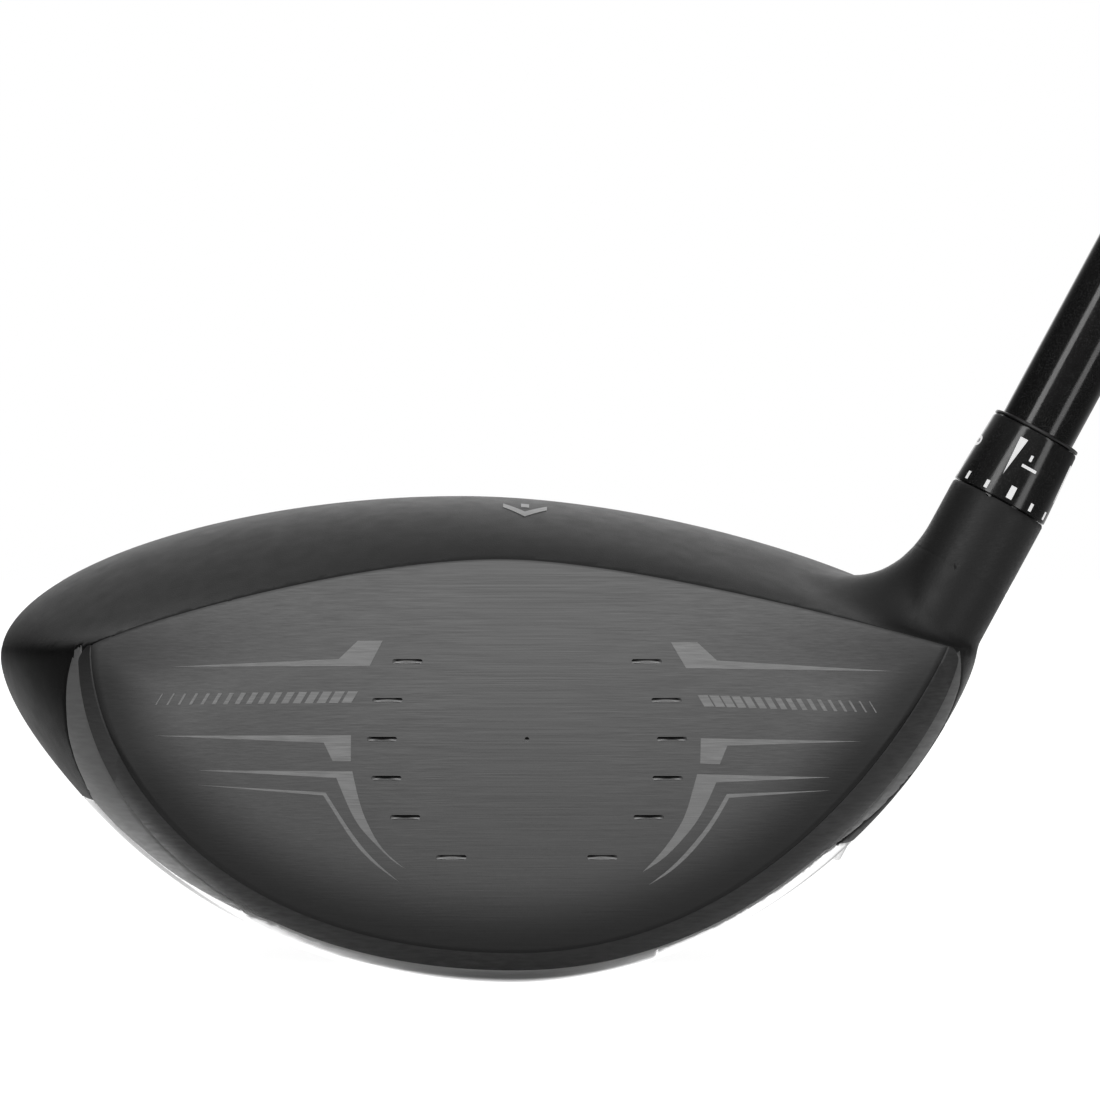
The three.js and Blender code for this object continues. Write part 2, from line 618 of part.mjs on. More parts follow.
function hoselScrew() {
  const s = SCREW;
  const socket = hexSocket(s.socketR, s.socketDepth, -s.headBottom);
  return solid(turned([
    [0, -s.headBottom], [s.headR, -s.headBottom], [s.headR, -s.headTop], [s.shankR, -s.headTop],
    [s.shankR, -s.shankTop - 0.5], [s.shankR - 0.5, -s.shankTop], [0, -s.shankTop],
  ])).subtract(solid(socket));
}

function retainingClip() {
  const { outerR, low, high, slot } = CLIP;
  const opening = new THREE.BoxGeometry(2 * outerR, slot, 4).translate(outerR, 0, (low + high) / 2);
  return solid(ring(SCREW.shankR + GAP, outerR, low, high)).subtract(solid(opening));
}

// ---------------------------------------------------------------- shaft and grip, on the canted axis

function cantMatrix() {
  return new THREE.Matrix4().makeTranslation(0, 0, CANT_PIVOT)
    .multiply(new THREE.Matrix4().makeRotationX(-SHAFT_CANT))
    .multiply(new THREE.Matrix4().makeTranslation(0, 0, -CANT_PIVOT));
}

const BUTT = CLUB_LENGTH - HOSEL_TOP[2] / Math.sin(LIE); // height of the butt above the hosel top
const SHAFT_END = BUTT - 3.5; // the shaft stops below the grip cap
const SHAFT_STEP = SLEEVE.collarHeight - 4.7; // where the ground-down tip begins, inside the collar's mouth

function shaftRadius(height) {
  return SHAFT_R + (SHAFT_BUTT_R - SHAFT_R) * (height - SHAFT_STEP) / (SHAFT_END - SHAFT_STEP);
}

function shaft() {
  const wall = SHAFT_WALL;
  return turned([
    [SHAFT_TIP_R, -SHAFT_TIP_DEPTH], [SHAFT_TIP_R, SHAFT_STEP], [SHAFT_R, SHAFT_STEP],
    [SHAFT_BUTT_R, SHAFT_END], [SHAFT_BUTT_R - wall, SHAFT_END], [SHAFT_R - wall, SHAFT_STEP + 12],
    [SHAFT_TIP_R - wall, SHAFT_STEP], [SHAFT_TIP_R - wall, -SHAFT_TIP_DEPTH],
  ]);
}

function gripTape() {
  const low = BUTT - GRIP_LENGTH + 6;
  const inner = (h) => shaftRadius(h) + 0.1;
  const outer = (h) => inner(h) + GRIP_TAPE_WALL;
  return turned([
    [inner(low), low], [outer(low), low], [outer(SHAFT_END), SHAFT_END], [inner(SHAFT_END), SHAFT_END],
  ]);
}

function grip() {
  const low = BUTT - GRIP_LENGTH;
  const high = BUTT - 3;
  const inner = (h) => shaftRadius(h) + 0.2 + GRIP_TAPE_WALL;
  return turned([
    [inner(low), low], [GRIP_MOUTH_R - 0.8, low], [GRIP_MOUTH_R, low + 2],
    [GRIP_MOUTH_R + 0.4, BUTT - 180], [GRIP_BUTT_R - 1.6, BUTT - 60], [GRIP_BUTT_R - 0.4, BUTT - 14],
    [GRIP_BUTT_R - 0.5, high], [inner(high), high],
  ]);
}

function gripCap() {
  return turned([
    [GRIP_VENT_R, BUTT - GRIP_CAP_HEIGHT], [GRIP_BUTT_R - 0.5, BUTT - GRIP_CAP_HEIGHT],
    [GRIP_BUTT_R - 1, BUTT - 0.8], [GRIP_BUTT_R - 2.4, BUTT], [GRIP_VENT_R, BUTT],
  ]);
}

// ---------------------------------------------------------------- rear weight, heights from the sole surface

const WEIGHT_LOW = -REAR_WEIGHT.pocketDepth + REAR_WEIGHT.gap;

function rearWeight() {
  const { radius, thickness, chamfer, web, holeR, screwHeadR } = REAR_WEIGHT;
  const high = WEIGHT_LOW + thickness;
  const body = solid(turned([
    [0, WEIGHT_LOW], [radius, WEIGHT_LOW], [radius, high - chamfer], [radius - chamfer, high], [0, high],
  ]));
  return body
    .subtract(solid(rod(holeR, WEIGHT_LOW - 10, high + 5)))
    .subtract(solid(rod(screwHeadR + GAP, WEIGHT_LOW + web, high + 5)));
}

function rearWeightScrew() {
  const { shankR, shankLength, headHeight, socketR, socketDepth, chamfer } = WEIGHT_SCREW;
  const headR = REAR_WEIGHT.screwHeadR;
  const seat = WEIGHT_LOW + REAR_WEIGHT.web + 0.1;
  const head = seat + headHeight;
  const tip = seat - shankLength;
  return solid(turned([
    [0, tip], [shankR - 0.4, tip], [shankR, tip + 0.4], [shankR, seat], [headR, seat],
    [headR, head - chamfer], [headR - chamfer, head], [0, head],
  ])).subtract(solid(hexSocket(socketR, socketDepth, head)));
}

function rearGasket() {
  return sized({ outerR: REAR_WEIGHT.radius - 0.2, ...WEIGHT_GASKET }, -REAR_WEIGHT.pocketDepth);
}

function rearBush() {
  const floor = -REAR_WEIGHT.pocketDepth;
  return ring(THREAD_BUSH.innerR, THREAD_BUSH.outerR, floor - THREAD_BUSH.low, floor - THREAD_BUSH.high);
}

/** A ring from a named size, with its hole clear of the hosel screw unless the size says otherwise. */
function sized({ innerR = SCREW.shankR + GAP, outerR, low, high }, base = 0) {
  return ring(innerR, outerR, base + low, base + high);
}

function tipPlug() {
  return rod(SHAFT_TIP_R, -SHAFT_TIP_DEPTH - TIP_PLUG.low, -SHAFT_TIP_DEPTH - TIP_PLUG.high);
}

// ---------------------------------------------------------------- assembly

function group(matrix, ...children) {
  const made = new THREE.Group();
  made.applyMatrix4(matrix);
  made.add(...children);
  return made;
}

const driver = new THREE.Group();
driver.position.set(0, -SOLE_REST_Y, 0);
driver.add(
  mesh('head_body', headBody(), MATT_BLACK),
  mesh('face_cup', faceCup(), DARK_FACE),
  mesh('crown_plate', crownPlate(), MATT_BLACK),
  mesh('toe_sole_panel', panel(TOE_PANEL), GREY_PANEL),
  mesh('heel_sole_panel', panel(HEEL_PANEL), GREY_PANEL),
  mesh('front_sole_plate', panel(SOLE_PLATE).subtract(belowGround()), BRIGHT_METAL),
);
driver.add(group(
  weightMatrix,
  mesh('rear_weight_gasket', rearGasket(), RUBBER),
  mesh('rear_weight', rearWeight(), STEEL),
  mesh('rear_weight_screw', rearWeightScrew(), STEEL),
  mesh('rear_thread_bush', rearBush(), STEEL),
));
driver.add(group(
  hoselMatrix,
  mesh('adapter_sleeve', adapterSleeve(), GLOSS_BLACK),
  mesh('sleeve_trim_ring', sized(TRIM_RING, SLEEVE.collarHeight), BRIGHT_METAL),
  mesh('sleeve_thread_insert', sized(THREAD_INSERT), STEEL),
  mesh('hosel_spline_ring', splineRing(), BRASS),
  mesh('sleeve_end_washer', sized(END_WASHER), BRASS),
  mesh('screw_retaining_clip', retainingClip(), STEEL),
  mesh('screw_seat_washer', sized(SEAT_WASHER), STEEL),
  mesh('hosel_screw', hoselScrew(), STEEL),
  group(
    cantMatrix(),
    mesh('shaft', shaft(), GLOSS_BLACK),
    mesh('shaft_tip_plug', tipPlug(), TAPE),
    mesh('grip_tape', gripTape(), TAPE),
    mesh('grip', grip(), RUBBER),
    mesh('grip_cap', gripCap(), RUBBER),
  ),
));

export default driver;
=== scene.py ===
import math

import bpy
import numpy as np
from mathutils import Matrix, Vector
from mathutils.bvhtree import BVHTree
from mathutils.geometry import tessellate_polygon


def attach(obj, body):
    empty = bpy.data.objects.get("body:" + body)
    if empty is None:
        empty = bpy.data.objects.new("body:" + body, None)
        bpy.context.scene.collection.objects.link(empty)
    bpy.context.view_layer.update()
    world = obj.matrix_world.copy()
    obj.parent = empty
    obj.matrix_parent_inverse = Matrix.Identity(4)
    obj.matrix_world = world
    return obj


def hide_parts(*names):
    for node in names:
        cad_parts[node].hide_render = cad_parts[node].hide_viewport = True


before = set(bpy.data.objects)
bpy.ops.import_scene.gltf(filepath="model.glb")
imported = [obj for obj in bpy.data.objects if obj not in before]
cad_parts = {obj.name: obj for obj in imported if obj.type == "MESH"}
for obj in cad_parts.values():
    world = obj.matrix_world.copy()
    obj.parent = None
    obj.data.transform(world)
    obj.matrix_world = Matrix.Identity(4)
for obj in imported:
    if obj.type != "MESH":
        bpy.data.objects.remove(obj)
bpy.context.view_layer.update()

# Lengths are in millimetres, in the head's own frame, until an object is made: X from toe to heel,
# Y from the face centre backwards, Z up from the ground.
MM = 0.001
SET_BACK = 23.0  # the frame's origin lies this far behind the face centre

# ---------------------------------------------------------------- the head's outer surface
# depth behind the face line, toe, heel, crown, sole, equator, apex, keel
GUIDES = np.array([
    [0.0, -58.2, 56.1, 56.8, 3.6, 45.2, -3.6, -1.5],
    [2.3, -60.2, 57.9, 58.2, 2.6, 44.8, -3.9, -1.6],
    [10, -65.5, 60.2, 61.4, 0.7, 44.0, -6.0, -2.2],
    [25, -71.6, 61.6, 64.6, -0.4, 43.5, -8.6, -2.6],
    [45, -74.2, 60.8, 65.4, 0.6, 42.5, -9.7, -3.4],
    [65, -70.2, 55.0, 61.6, 4.0, 39.0, -9.5, -4.5],
    [85, -58.2, 42.0, 51.8, 8.8, 33.2, -9.0, -6.0],
    [100, -41.5, 25.0, 40.6, 13.6, 28.0, -8.5, -7.0],
    [111, -8.0, -8.0, 22.0, 22.0, 22.0, -8.0, -8.0],
])
# depth, then (up, along) of the quarters crown-toe, crown-heel, sole-heel and sole-toe
FULLNESS = np.array([
    [0.0, .10, .40, .01, .32, .15, .62, .45, .64],
    [2.3, .12, .41, .04, .34, .20, .63, .50, .64],
    [10, .25, .44, .14, .38, .15, .66, .35, .69],
    [25, .45, .49, .30, .43, .10, .69, .20, .70],
    [45, .55, .51, .39, .45, .20, .62, .30, .56],
    [65, .55, .52, .50, .50, .35, .54, .38, .52],
    [85, .55, .55, .55, .54, .45, .53, .45, .53],
    [111, .55, .55, .55, .55, .52, .55, .52, .55],
])
FACE_EDGE = np.array([-58.2, 56.1, 56.8, 5.2, 45.2, -3.6, -1.5, .1, .4, .01, .32, .01, .67, .38, .71])
FACE_Z = 33.1  # height of the face centre
LOFT = math.radians(9.5)
BULGE_R, ROLL_R = 310.0, 300.0
FACE_FADE = 60.0  # depth at which the face's curvature has faded out
RIM_DEPTH = 2.3
RIM_OVERLAP = 0.12  # how far the panels reach forward under the rim's edge


def natural_spline(knots, rows):
    """Natural cubic spline through the rows, extended in straight lines, as a function of an array."""
    n, h = len(knots), np.diff(knots)
    system, target = np.eye(n), np.zeros_like(rows)
    for i in range(1, n - 1):
        system[i, i - 1:i + 2] = h[i - 1], 2 * (h[i - 1] + h[i]), h[i]
        target[i] = 6 * ((rows[i + 1] - rows[i]) / h[i] - (rows[i] - rows[i - 1]) / h[i - 1])
    bend = np.linalg.solve(system, target)
    first_slope = (rows[1] - rows[0]) / h[0] - h[0] * bend[1] / 6

    def at(values):
        t = np.asarray(values, float)
        i = np.clip(np.searchsorted(knots, t) - 1, 0, n - 2)
        step = h[i][..., None]
        a = ((knots[i + 1] - t) / h[i])[..., None]
        b = 1 - a
        inside = a * rows[i] + b * rows[i + 1]
        inside = inside + ((a ** 3 - a) * bend[i] + (b ** 3 - b) * bend[i + 1]) * step ** 2 / 6
        before = rows[0] + (t - knots[0])[..., None] * first_slope
        return np.where((t < knots[0])[..., None], before, inside)
    return at


def angle_of(depth):
    return np.arccos(np.clip((48 - np.asarray(depth, float)) / 63, -1, 1))


def depth_of(angle):
    return 48 - 63 * np.cos(angle)


limits_at = natural_spline(angle_of(GUIDES[:, 0]), GUIDES[:, 1:])
fullness_at = natural_spline(angle_of(FULLNESS[:, 0]), FULLNESS[:, 1:])


def section(angle):
    return np.concatenate([limits_at(angle), fullness_at(angle)], axis=-1)


def on_section(rows, turn):
    """X and Z on a section. turn runs 0 toe, 1 crown, 2 heel, 3 keel, 4 toe again."""
    rows, turn = np.broadcast_arrays(rows, np.asarray(turn, float)[..., None])
    turn = turn[..., 0]
    quarter = np.floor(turn).astype(int) % 4
    part = turn - np.floor(turn)
    toe, heel, crown, sole, equator, apex, keel = np.moveaxis(rows[..., :7], -1, 0)
    up = np.choose(quarter, [rows[..., 7 + 2 * q] for q in range(4)])
    along = np.choose(quarter, [rows[..., 8 + 2 * q] for q in range(4)])
    side = np.where((quarter == 0) | (quarter == 3), toe, heel)
    mid_x = np.where(quarter < 2, apex, keel)
    mid_z = np.where(quarter < 2, crown, sole)
    t = np.where(quarter % 2 == 0, part, 1 - part)
    weights = [(1 - t) ** 3, 3 * t * (1 - t) ** 2, 3 * t * t * (1 - t), t ** 3]
    xs = [side, side, mid_x + along * (side - mid_x), mid_x]
    zs = [equator, equator + up * (mid_z - equator), mid_z, mid_z]
    return sum(w * v for w, v in zip(weights, xs)), sum(w * v for w, v in zip(weights, zs))


def face_y(x, z):
    height = z - FACE_Z
    return math.tan(LOFT) * height + x * x / (2 * BULGE_R) + height * height / (2 * ROLL_R)


def placed(x, z, depth):
    fade = np.maximum(0, 1 - depth / FACE_FADE) ** 2
    return np.stack(np.broadcast_arrays(x, depth + fade * face_y(x, z), z), axis=-1)


def surface(angle, turn):
    x, z = on_section(section(angle), turn)
    return placed(x, z, depth_of(angle))


def depth_at(points):
    """The depth behind the face line of points on the head."""
    x, y, z = points.T
    depth = y.copy()
    for _ in range(8):
        depth = y - np.maximum(0, 1 - depth / FACE_FADE) ** 2 * face_y(x, z)
    return depth


# ---------------------------------------------------------------- mesh tools on numpy arrays


def grid_faces(rows, columns, wrap_rows=False, wrap_columns=False):
    i = np.arange(rows if wrap_rows else rows - 1)
    j = np.arange(columns if wrap_columns else columns - 1)
    i, j = (a.ravel() for a in np.meshgrid(i, j, indexing="ij"))
    k, l = (i + 1) % rows, (j + 1) % columns
    return np.stack([i * columns + j, i * columns + l, k * columns + l, k * columns + j], axis=1)


def triangles(quads):
    return np.concatenate([quads[:, [0, 1, 2]], quads[:, [0, 2, 3]]])


def welded(points, faces, places=4):
    """Shared corners merged, and triangles that collapsed dropped."""
    unique, inverse = np.unique(np.round(points, places), axis=0, return_inverse=True)
    faces = inverse.reshape(-1)[faces]
    kept = (faces[:, 0] != faces[:, 1]) & (faces[:, 1] != faces[:, 2]) & (faces[:, 2] != faces[:, 0])
    return unique, faces[kept]


def outward(points, faces):
    a, b, c = (points[faces[:, k]] for k in range(3))
    volume = np.einsum("ij,ij->i", a, np.cross(b, c)).sum()
    return faces[:, ::-1] if volume < 0 else faces


def vertex_normals(points, faces):
    a, b, c = (points[faces[:, k]] for k in range(3))
    flat = np.cross(b - a, c - a)
    normals = np.zeros_like(points)
    for k in range(3):
        np.add.at(normals, faces[:, k], flat)
    return normals / np.maximum(np.linalg.norm(normals, axis=1), 1e-12)[:, None]


def open_edges(faces):
    """Directed edges that belong to one triangle only."""
    edges = np.concatenate([faces[:, [0, 1]], faces[:, [1, 2]], faces[:, [2, 0]]])
    key = edges[:, 0].astype(np.int64) * (faces.max() + 1) + edges[:, 1]
    back = edges[:, 1].astype(np.int64) * (faces.max() + 1) + edges[:, 0]
    return edges[~np.isin(key, back)]


def compact(points, faces, *more):
    used, inverse = np.unique(faces, return_inverse=True)
    return (points[used], inverse.reshape(faces.shape), *[m[used] for m in more])


def cut(points, faces, normals, field):
    """Splits triangles along field(points) = 0, moving corners that lie close to it onto it."""
    points, normals = points.copy(), normals.copy()
    values = field(points)
    edges = np.sort(np.concatenate([faces[:, [0, 1]], faces[:, [1, 2]], faces[:, [2, 0]]]), axis=1)
    edges = np.unique(edges, axis=0)
    a, b = edges.T
    crossing = values[a] * values[b] < 0
    a, b = a[crossing], b[crossing]
    share = values[a] / (values[a] - values[b])
    for near, other, part in ((a, b, share), (b, a, 1 - share)):
        close = (part < 0.2) & (np.abs(values[near]) > 0)
        moved, first = np.unique(near[close], return_index=True)
        to, amount = other[close][first], part[close][first][:, None]
        points[moved] += (points[to] - points[moved]) * amount
        values[moved] = 0
    crossing = values[a] * values[b] < 0
    a, b = a[crossing], b[crossing]
    share = (values[a] / (values[a] - values[b]))[:, None]
    new = np.arange(len(a)) + len(points)
    size = len(points)
    keys = a.astype(np.int64) * size + b
    order = np.argsort(keys)
    keys, new_sorted = keys[order], new[order]
    points = np.concatenate([points, points[a] + (points[b] - points[a]) * share])
    normals = np.concatenate([normals, normals[a] + (normals[b] - normals[a]) * share])
    sign = np.sign(values)

    def middle(p, q):
        key = np.minimum(p, q).astype(np.int64) * size + np.maximum(p, q)
        return new_sorted[np.searchsorted(keys, key)]

    signs = sign[faces]
    crossed = [signs[:, k] * signs[:, (k + 1) % 3] < 0 for k in range(3)]
    count = sum(c.astype(int) for c in crossed)
    out = [faces[count == 0]]
    for k in range(3):
        one = (count == 1) & crossed[k]
        p, q, r = (faces[one][:, (k + s) % 3] for s in range(3))
        m = middle(p, q)
        out += [np.stack([p, m, r], 1), np.stack([m, q, r], 1)]
        two = (count == 2) & ~crossed[(k + 1) % 3]
        p, q, r = (faces[two][:, (k + s) % 3] for s in range(3))
        m, n = middle(p, q), middle(r, p)
        out += [np.stack([p, m, n], 1), np.stack([m, q, r], 1), np.stack([m, r, n], 1)]
    return points, np.concatenate(out), normals


ROLL = 0.14  # how far a panel's edge turns in at a seam
FAINT_ROLL = 0.03  # the same at a seam that paint hides


def closed_shell(points, faces, normals, wall, raised=0.0):
    """A panel cut from a surface, as a closed body of the given wall, its edges turned in a little."""
    edges = open_edges(faces)
    top = points + normals * (raised * smooth(depth_at(points), RIM_DEPTH, RIM_DEPTH + 3))[:, None]
    rim = np.unique(edges)
    inner = top - normals * wall
    faint = np.minimum(np.abs(crown_field(points[rim])), np.abs(band_field(points[rim]))) < 0.1
    top[rim] -= normals[rim] * np.where(faint, FAINT_ROLL, ROLL)[:, None]
    n = len(points)
    a, b = edges.T
    sides = np.concatenate([np.stack([b, a, a + n], 1), np.stack([b, a + n, b + n], 1)])
    points = np.concatenate([top, inner])
    points[:, 2] = np.maximum(points[:, 2], 0)
    return points, np.concatenate([faces, faces[:, ::-1] + n, sides])


def lofted(rings, closed=False):
    """Triangles over rings of points (rows, columns, 3), which close on themselves or are fanned shut."""
    rows, columns = rings.shape[:2]
    faces = triangles(grid_faces(rows, columns, wrap_rows=closed, wrap_columns=True))
    points = rings.reshape(-1, 3)
    if not closed:
        centres = rings[[0, -1]].mean(axis=1)
        j = np.arange(columns)
        l = (j + 1) % columns
        n, last = len(points), (rows - 1) * columns
        fans = [np.stack([np.full(columns, n), l, j], 1),
                np.stack([np.full(columns, n + 1), last + j, last + l], 1)]
        points, faces = np.concatenate([points, centres]), np.concatenate([faces, *fans])
    points, faces = welded(points, faces)
    return points, outward(points, faces)


def eased(profile, radius=0.25, closed=True):
    """A profile of (radius, height) corners with each corner cut back twice, as a small round."""
    made = []
    n = len(profile)
    for i, (r, h) in enumerate(profile):
        here = np.array([r, h], float)
        if callable(r) or r <= 0 or (not closed and i in (0, n - 1)):
            made.append((r, h))
            continue
        before, after = (np.array(profile[(i + s) % n], float) for s in (-1, 1))
        into, out = here - before, after - here
        li, lo = np.linalg.norm(into), np.linalg.norm(out)
        bend = into @ out / max(li * lo, 1e-9)
        if bend > 0.97:
            made.append((r, h))
            continue
        reach = min(radius, 0.4 * li, 0.4 * lo)
        for s in (0.0, 0.5, 1.0):
            p = (1 - s) ** 2 * (here - into / li * reach) + 2 * s * (1 - s) * here
            made.append(tuple(p + s * s * (here + out / lo * reach)))
    return made


def turned(profile, segments=96, place=None):
    """A body of revolution from a closed profile of (radius, height); a radius may depend on the angle."""
    phi = np.linspace(0, 2 * np.pi, segments, endpoint=False)
    rings = []
    for r, h in profile:
        radius = r(phi) if callable(r) else np.full(segments, float(r))
        height = h(phi) if callable(h) else np.full(segments, float(h))
        rings.append(np.stack([radius * np.cos(phi), radius * np.sin(phi), height], axis=1))
    points, faces = lofted(np.array(rings), closed=True)
    return (place(points) if place else points), faces


def gridded(polygon, step):
    """Triangles of a flat polygon, clipped to square cells so that they can follow a curved surface."""
    corners = [Vector((x, y, 0)) for x, y in polygon]
    cells = []
    for face in tessellate_polygon([corners]):
        part = [np.array(polygon[i], float) for i in face]
        low, high = np.min(part, axis=0), np.max(part, axis=0)
        for i in range(math.floor(low[0] / step), math.floor(high[0] / step) + 1):
            column = clipped(clipped(part, 0, i * step, 1), 0, (i + 1) * step, -1)
            for j in range(math.floor(low[1] / step), math.floor(high[1] / step) + 1):
                cell = clipped(clipped(column, 1, j * step, 1), 1, (j + 1) * step, -1)
                cells += [[cell[0], cell[k], cell[k + 1]] for k in range(1, len(cell) - 1)]
    return cells


def clipped(polygon, axis, limit, side):
    made = []
    for i, p in enumerate(polygon):
        q = polygon[(i + 1) % len(polygon)]
        inside, next_inside = ((v[axis] - limit) * side >= 0 for v in (p, q))
        if inside:
            made.append(p)
        if inside != next_inside:
            made.append(p + (q - p) * (limit - p[axis]) / (q[axis] - p[axis]))
    return made


def relief(polygons, surface_map, step, proud, sunk):
    """Flat shapes laid on a surface as thin closed bodies. surface_map(points, offset) gives 3-D points."""
    cells = np.array([c for polygon in polygons for c in gridded(polygon, step)])
    flat, faces = welded(cells.reshape(-1, 2), np.arange(len(cells) * 3).reshape(-1, 3), 3)
    a, b, c = (flat[faces[:, k]] for k in range(3))
    u, v = b - a, c - a
    area = u[:, 0] * v[:, 1] - u[:, 1] * v[:, 0]
    faces = np.where((area < 0)[:, None], faces[:, ::-1], faces)[np.abs(area) > 1e-6]
    flat, faces = compact(flat, faces)
    top, bottom = surface_map(flat, proud), surface_map(flat, -sunk)
    a, b = open_edges(faces).T
    n = len(flat)
    sides = np.concatenate([np.stack([b, a, a + n], 1), np.stack([b, a + n, b + n], 1)])
    points = np.concatenate([top, bottom])
    faces = np.concatenate([faces, faces[:, ::-1] + n, sides])
    return points, outward(points - points.mean(axis=0), faces)


# ---------------------------------------------------------------- frames of the hosel and the rear weight

LIE = math.radians(61.5)
HOSEL_TOP = np.array([63.7, 17.0, 64.4])
HOSEL_X = np.array([math.sin(LIE), 0, -math.cos(LIE)])
HOSEL_Z = np.array([math.cos(LIE), 0, math.sin(LIE)])
HOSEL_R = 6.8
CANT, CANT_PIVOT = math.radians(1), -10.0


def on_hosel(points):
    return HOSEL_TOP + points[:, :1] * HOSEL_X + points[:, 1:2] * [0, 1, 0] + points[:, 2:] * HOSEL_Z


def on_shaft(points):
    x, y, z = points.T
    z = z - CANT_PIVOT
    c, s = math.cos(CANT), math.sin(CANT)
    return on_hosel(np.stack([x, y * c + z * s, z * c - y * s + CANT_PIVOT], axis=1))


def hosel_coordinates(points):
    """Distance from the hosel's axis, height above its top, and unit direction away from the axis."""
    local = points - HOSEL_TOP
    height = local @ HOSEL_Z
    out = local - height[:, None] * HOSEL_Z
    radius = np.linalg.norm(out, axis=1)
    return radius, height, out / np.maximum(radius, 1e-9)[:, None]


WEIGHT_AT = np.array([-6.4235, 91.0, 10.5248])
WEIGHT_Z = np.array([0, 0.2905733, -0.9568527])
WEIGHT_X = np.array([1.0, 0, 0])
WEIGHT_Y = np.cross(WEIGHT_Z, WEIGHT_X)


def at_weight(points):
    return WEIGHT_AT + points[:, :1] * WEIGHT_X + points[:, 1:2] * WEIGHT_Y + points[:, 2:] * WEIGHT_Z


# ---------------------------------------------------------------- the head's skin: body and hosel in one


def body_mesh(steps, around):
    angles = np.linspace(float(angle_of(-5)), math.pi - 0.03, steps)
    turns = np.arange(around) * 4 / around
    return lofted(surface(angles[:, None], turns[None, :]))


def remeshed(points, faces, voxel):
    mesh = bpy.data.meshes.new("raw_head")
    mesh.from_pydata(points.tolist(), [], faces.tolist())
    raw = bpy.data.objects.new("raw_head", mesh)
    bpy.context.scene.collection.objects.link(raw)
    remesh = raw.modifiers.new("remesh", "REMESH")
    remesh.mode = "VOXEL"
    remesh.voxel_size = voxel
    done = raw.evaluated_get(bpy.context.evaluated_depsgraph_get()).to_mesh()
    done.calc_loop_triangles()
    out = np.empty(len(done.vertices) * 3)
    done.vertices.foreach_get("co", out)
    tris = np.empty(len(done.loop_triangles) * 3, int)
    done.loop_triangles.foreach_get("vertices", tris)
    bpy.data.objects.remove(raw)
    bpy.data.meshes.remove(mesh)
    return out.reshape(-1, 3), tris.reshape(-1, 3)


body_points, body_faces = body_mesh(170, 400)
body_tree = BVHTree.FromPolygons(body_points.tolist(), body_faces.tolist())
body_normals = vertex_normals(body_points, body_faces)


def body_distance(points):
    """Signed distance from the head without its hosel, and the outward direction."""
    near, index = np.empty((len(points), 3)), np.empty(len(points), int)
    for i, p in enumerate(points.tolist()):
        near[i], _, index[i], _ = body_tree.find_nearest(p)
    corners = body_faces[index]
    weights = 1 / (np.linalg.norm(body_points[corners] - near[:, None], axis=2) + 1e-6)
    out = np.einsum("ij,ijk->ik", weights, body_normals[corners])
    out /= np.linalg.norm(out, axis=1)[:, None]
    return np.einsum("ij,ij->i", points - near, out), out


FILLET = 14.0  # reach of the fillet between hosel and crown, on the toe side
FILLET_LEAST = 1.5
HOSEL_FOOT = -23.0  # below this the hosel narrows into the head, clear of the sole


def skin_distance(points):
    """Signed distance from the smooth union of head and hosel, and its outward direction."""
    body_gap, body_out = body_distance(points)
    radius, height, out = hosel_coordinates(points)
    hosel_gap = radius - HOSEL_R + 0.9 * np.maximum(0, HOSEL_FOOT - height)
    towards_toe = np.maximum(0, out @ (-HOSEL_X * math.cos(0.45) + np.array([0, math.sin(0.45), 0])))
    reach = FILLET_LEAST + (FILLET - FILLET_LEAST) * towards_toe ** 1.2
    share = np.clip(0.5 + 0.5 * (hosel_gap - body_gap) / reach, 0, 1)
    overlap = np.maximum(reach - np.abs(body_gap - hosel_gap), 0) / reach
    gap = np.minimum(body_gap, hosel_gap) - overlap ** 2 * reach / 4
    slope = share[:, None] * body_out + (1 - share[:, None]) * out
    return gap, slope


VOXEL = 0.9


def head_skin():
    phi = np.arange(64) * 2 * np.pi / 64
    circle = np.stack([HOSEL_R * np.cos(phi), HOSEL_R * np.sin(phi), np.zeros(64)], 1)
    rings = np.array([on_hosel(circle + [0, 0, h]) for h in (-30, 3)])
    hosel_points, hosel_faces = lofted(rings)
    rough_points, rough_faces = body_mesh(90, 200)
    points = np.concatenate([rough_points, hosel_points])
    faces = np.concatenate([rough_faces, hosel_faces + len(rough_points)])
    points, faces = remeshed(points, faces, VOXEL)
    faces = outward(points, faces)
    for _ in range(6):
        gap, slope = skin_distance(points)
        _, height, _ = hosel_coordinates(points)
        step = np.where(height < 1.5, gap / np.maximum((slope ** 2).sum(axis=1), 0.2), 0)
        points = points - np.clip(step, -1.5, 1.5)[:, None] * slope
    return points, faces, vertex_normals(points, faces)


# ---------------------------------------------------------------- where the head's panels meet


def smooth(values, low, high):
    t = np.clip((values - low) / (high - low), 0, 1)
    return t * t * (3 - 2 * t)


def rim_depth_at(z):
    """The skin starts at the face's edge above the rim, and behind the rim below it."""
    return RIM_DEPTH * (1 - smooth(z, 43, 46.5))


def along(z, table):
    heights, depths = np.array(sorted(table)).T
    return np.interp(z, heights, depths)


TOE_BACK = [
    (46, 2.3), (41, 4.5), (36, 6.2), (31, 8.5), (27, 11), (24, 15), (21, 14), (18, 10), (15, 7), (12, 4.4), (8.6, 2.1),
    (4, -6),
]
TOE_TIP = -59.6  # the toe crescent ends in a point here
HEEL_BACK = [(44.5, 2.2), (40, 4.5), (35, 6), (30, 6.5), (24, 4.5), (20, 3), (17, 2.1), (4, -4)]
SEAM_ABOVE_EQUATOR = 1.5
PLATE_LEFT, PLATE_RIGHT, PLATE_DEPTH = -38.5, 17.8, 34.0
WING_TOP, WING_DEPTH = 24.0, 36.0
SCREW_PORT_R, WEIGHT_POCKET_R = 5.6, 9.3
HOSEL_BAND = 10.5  # height of the bare machined band at the top of the hosel


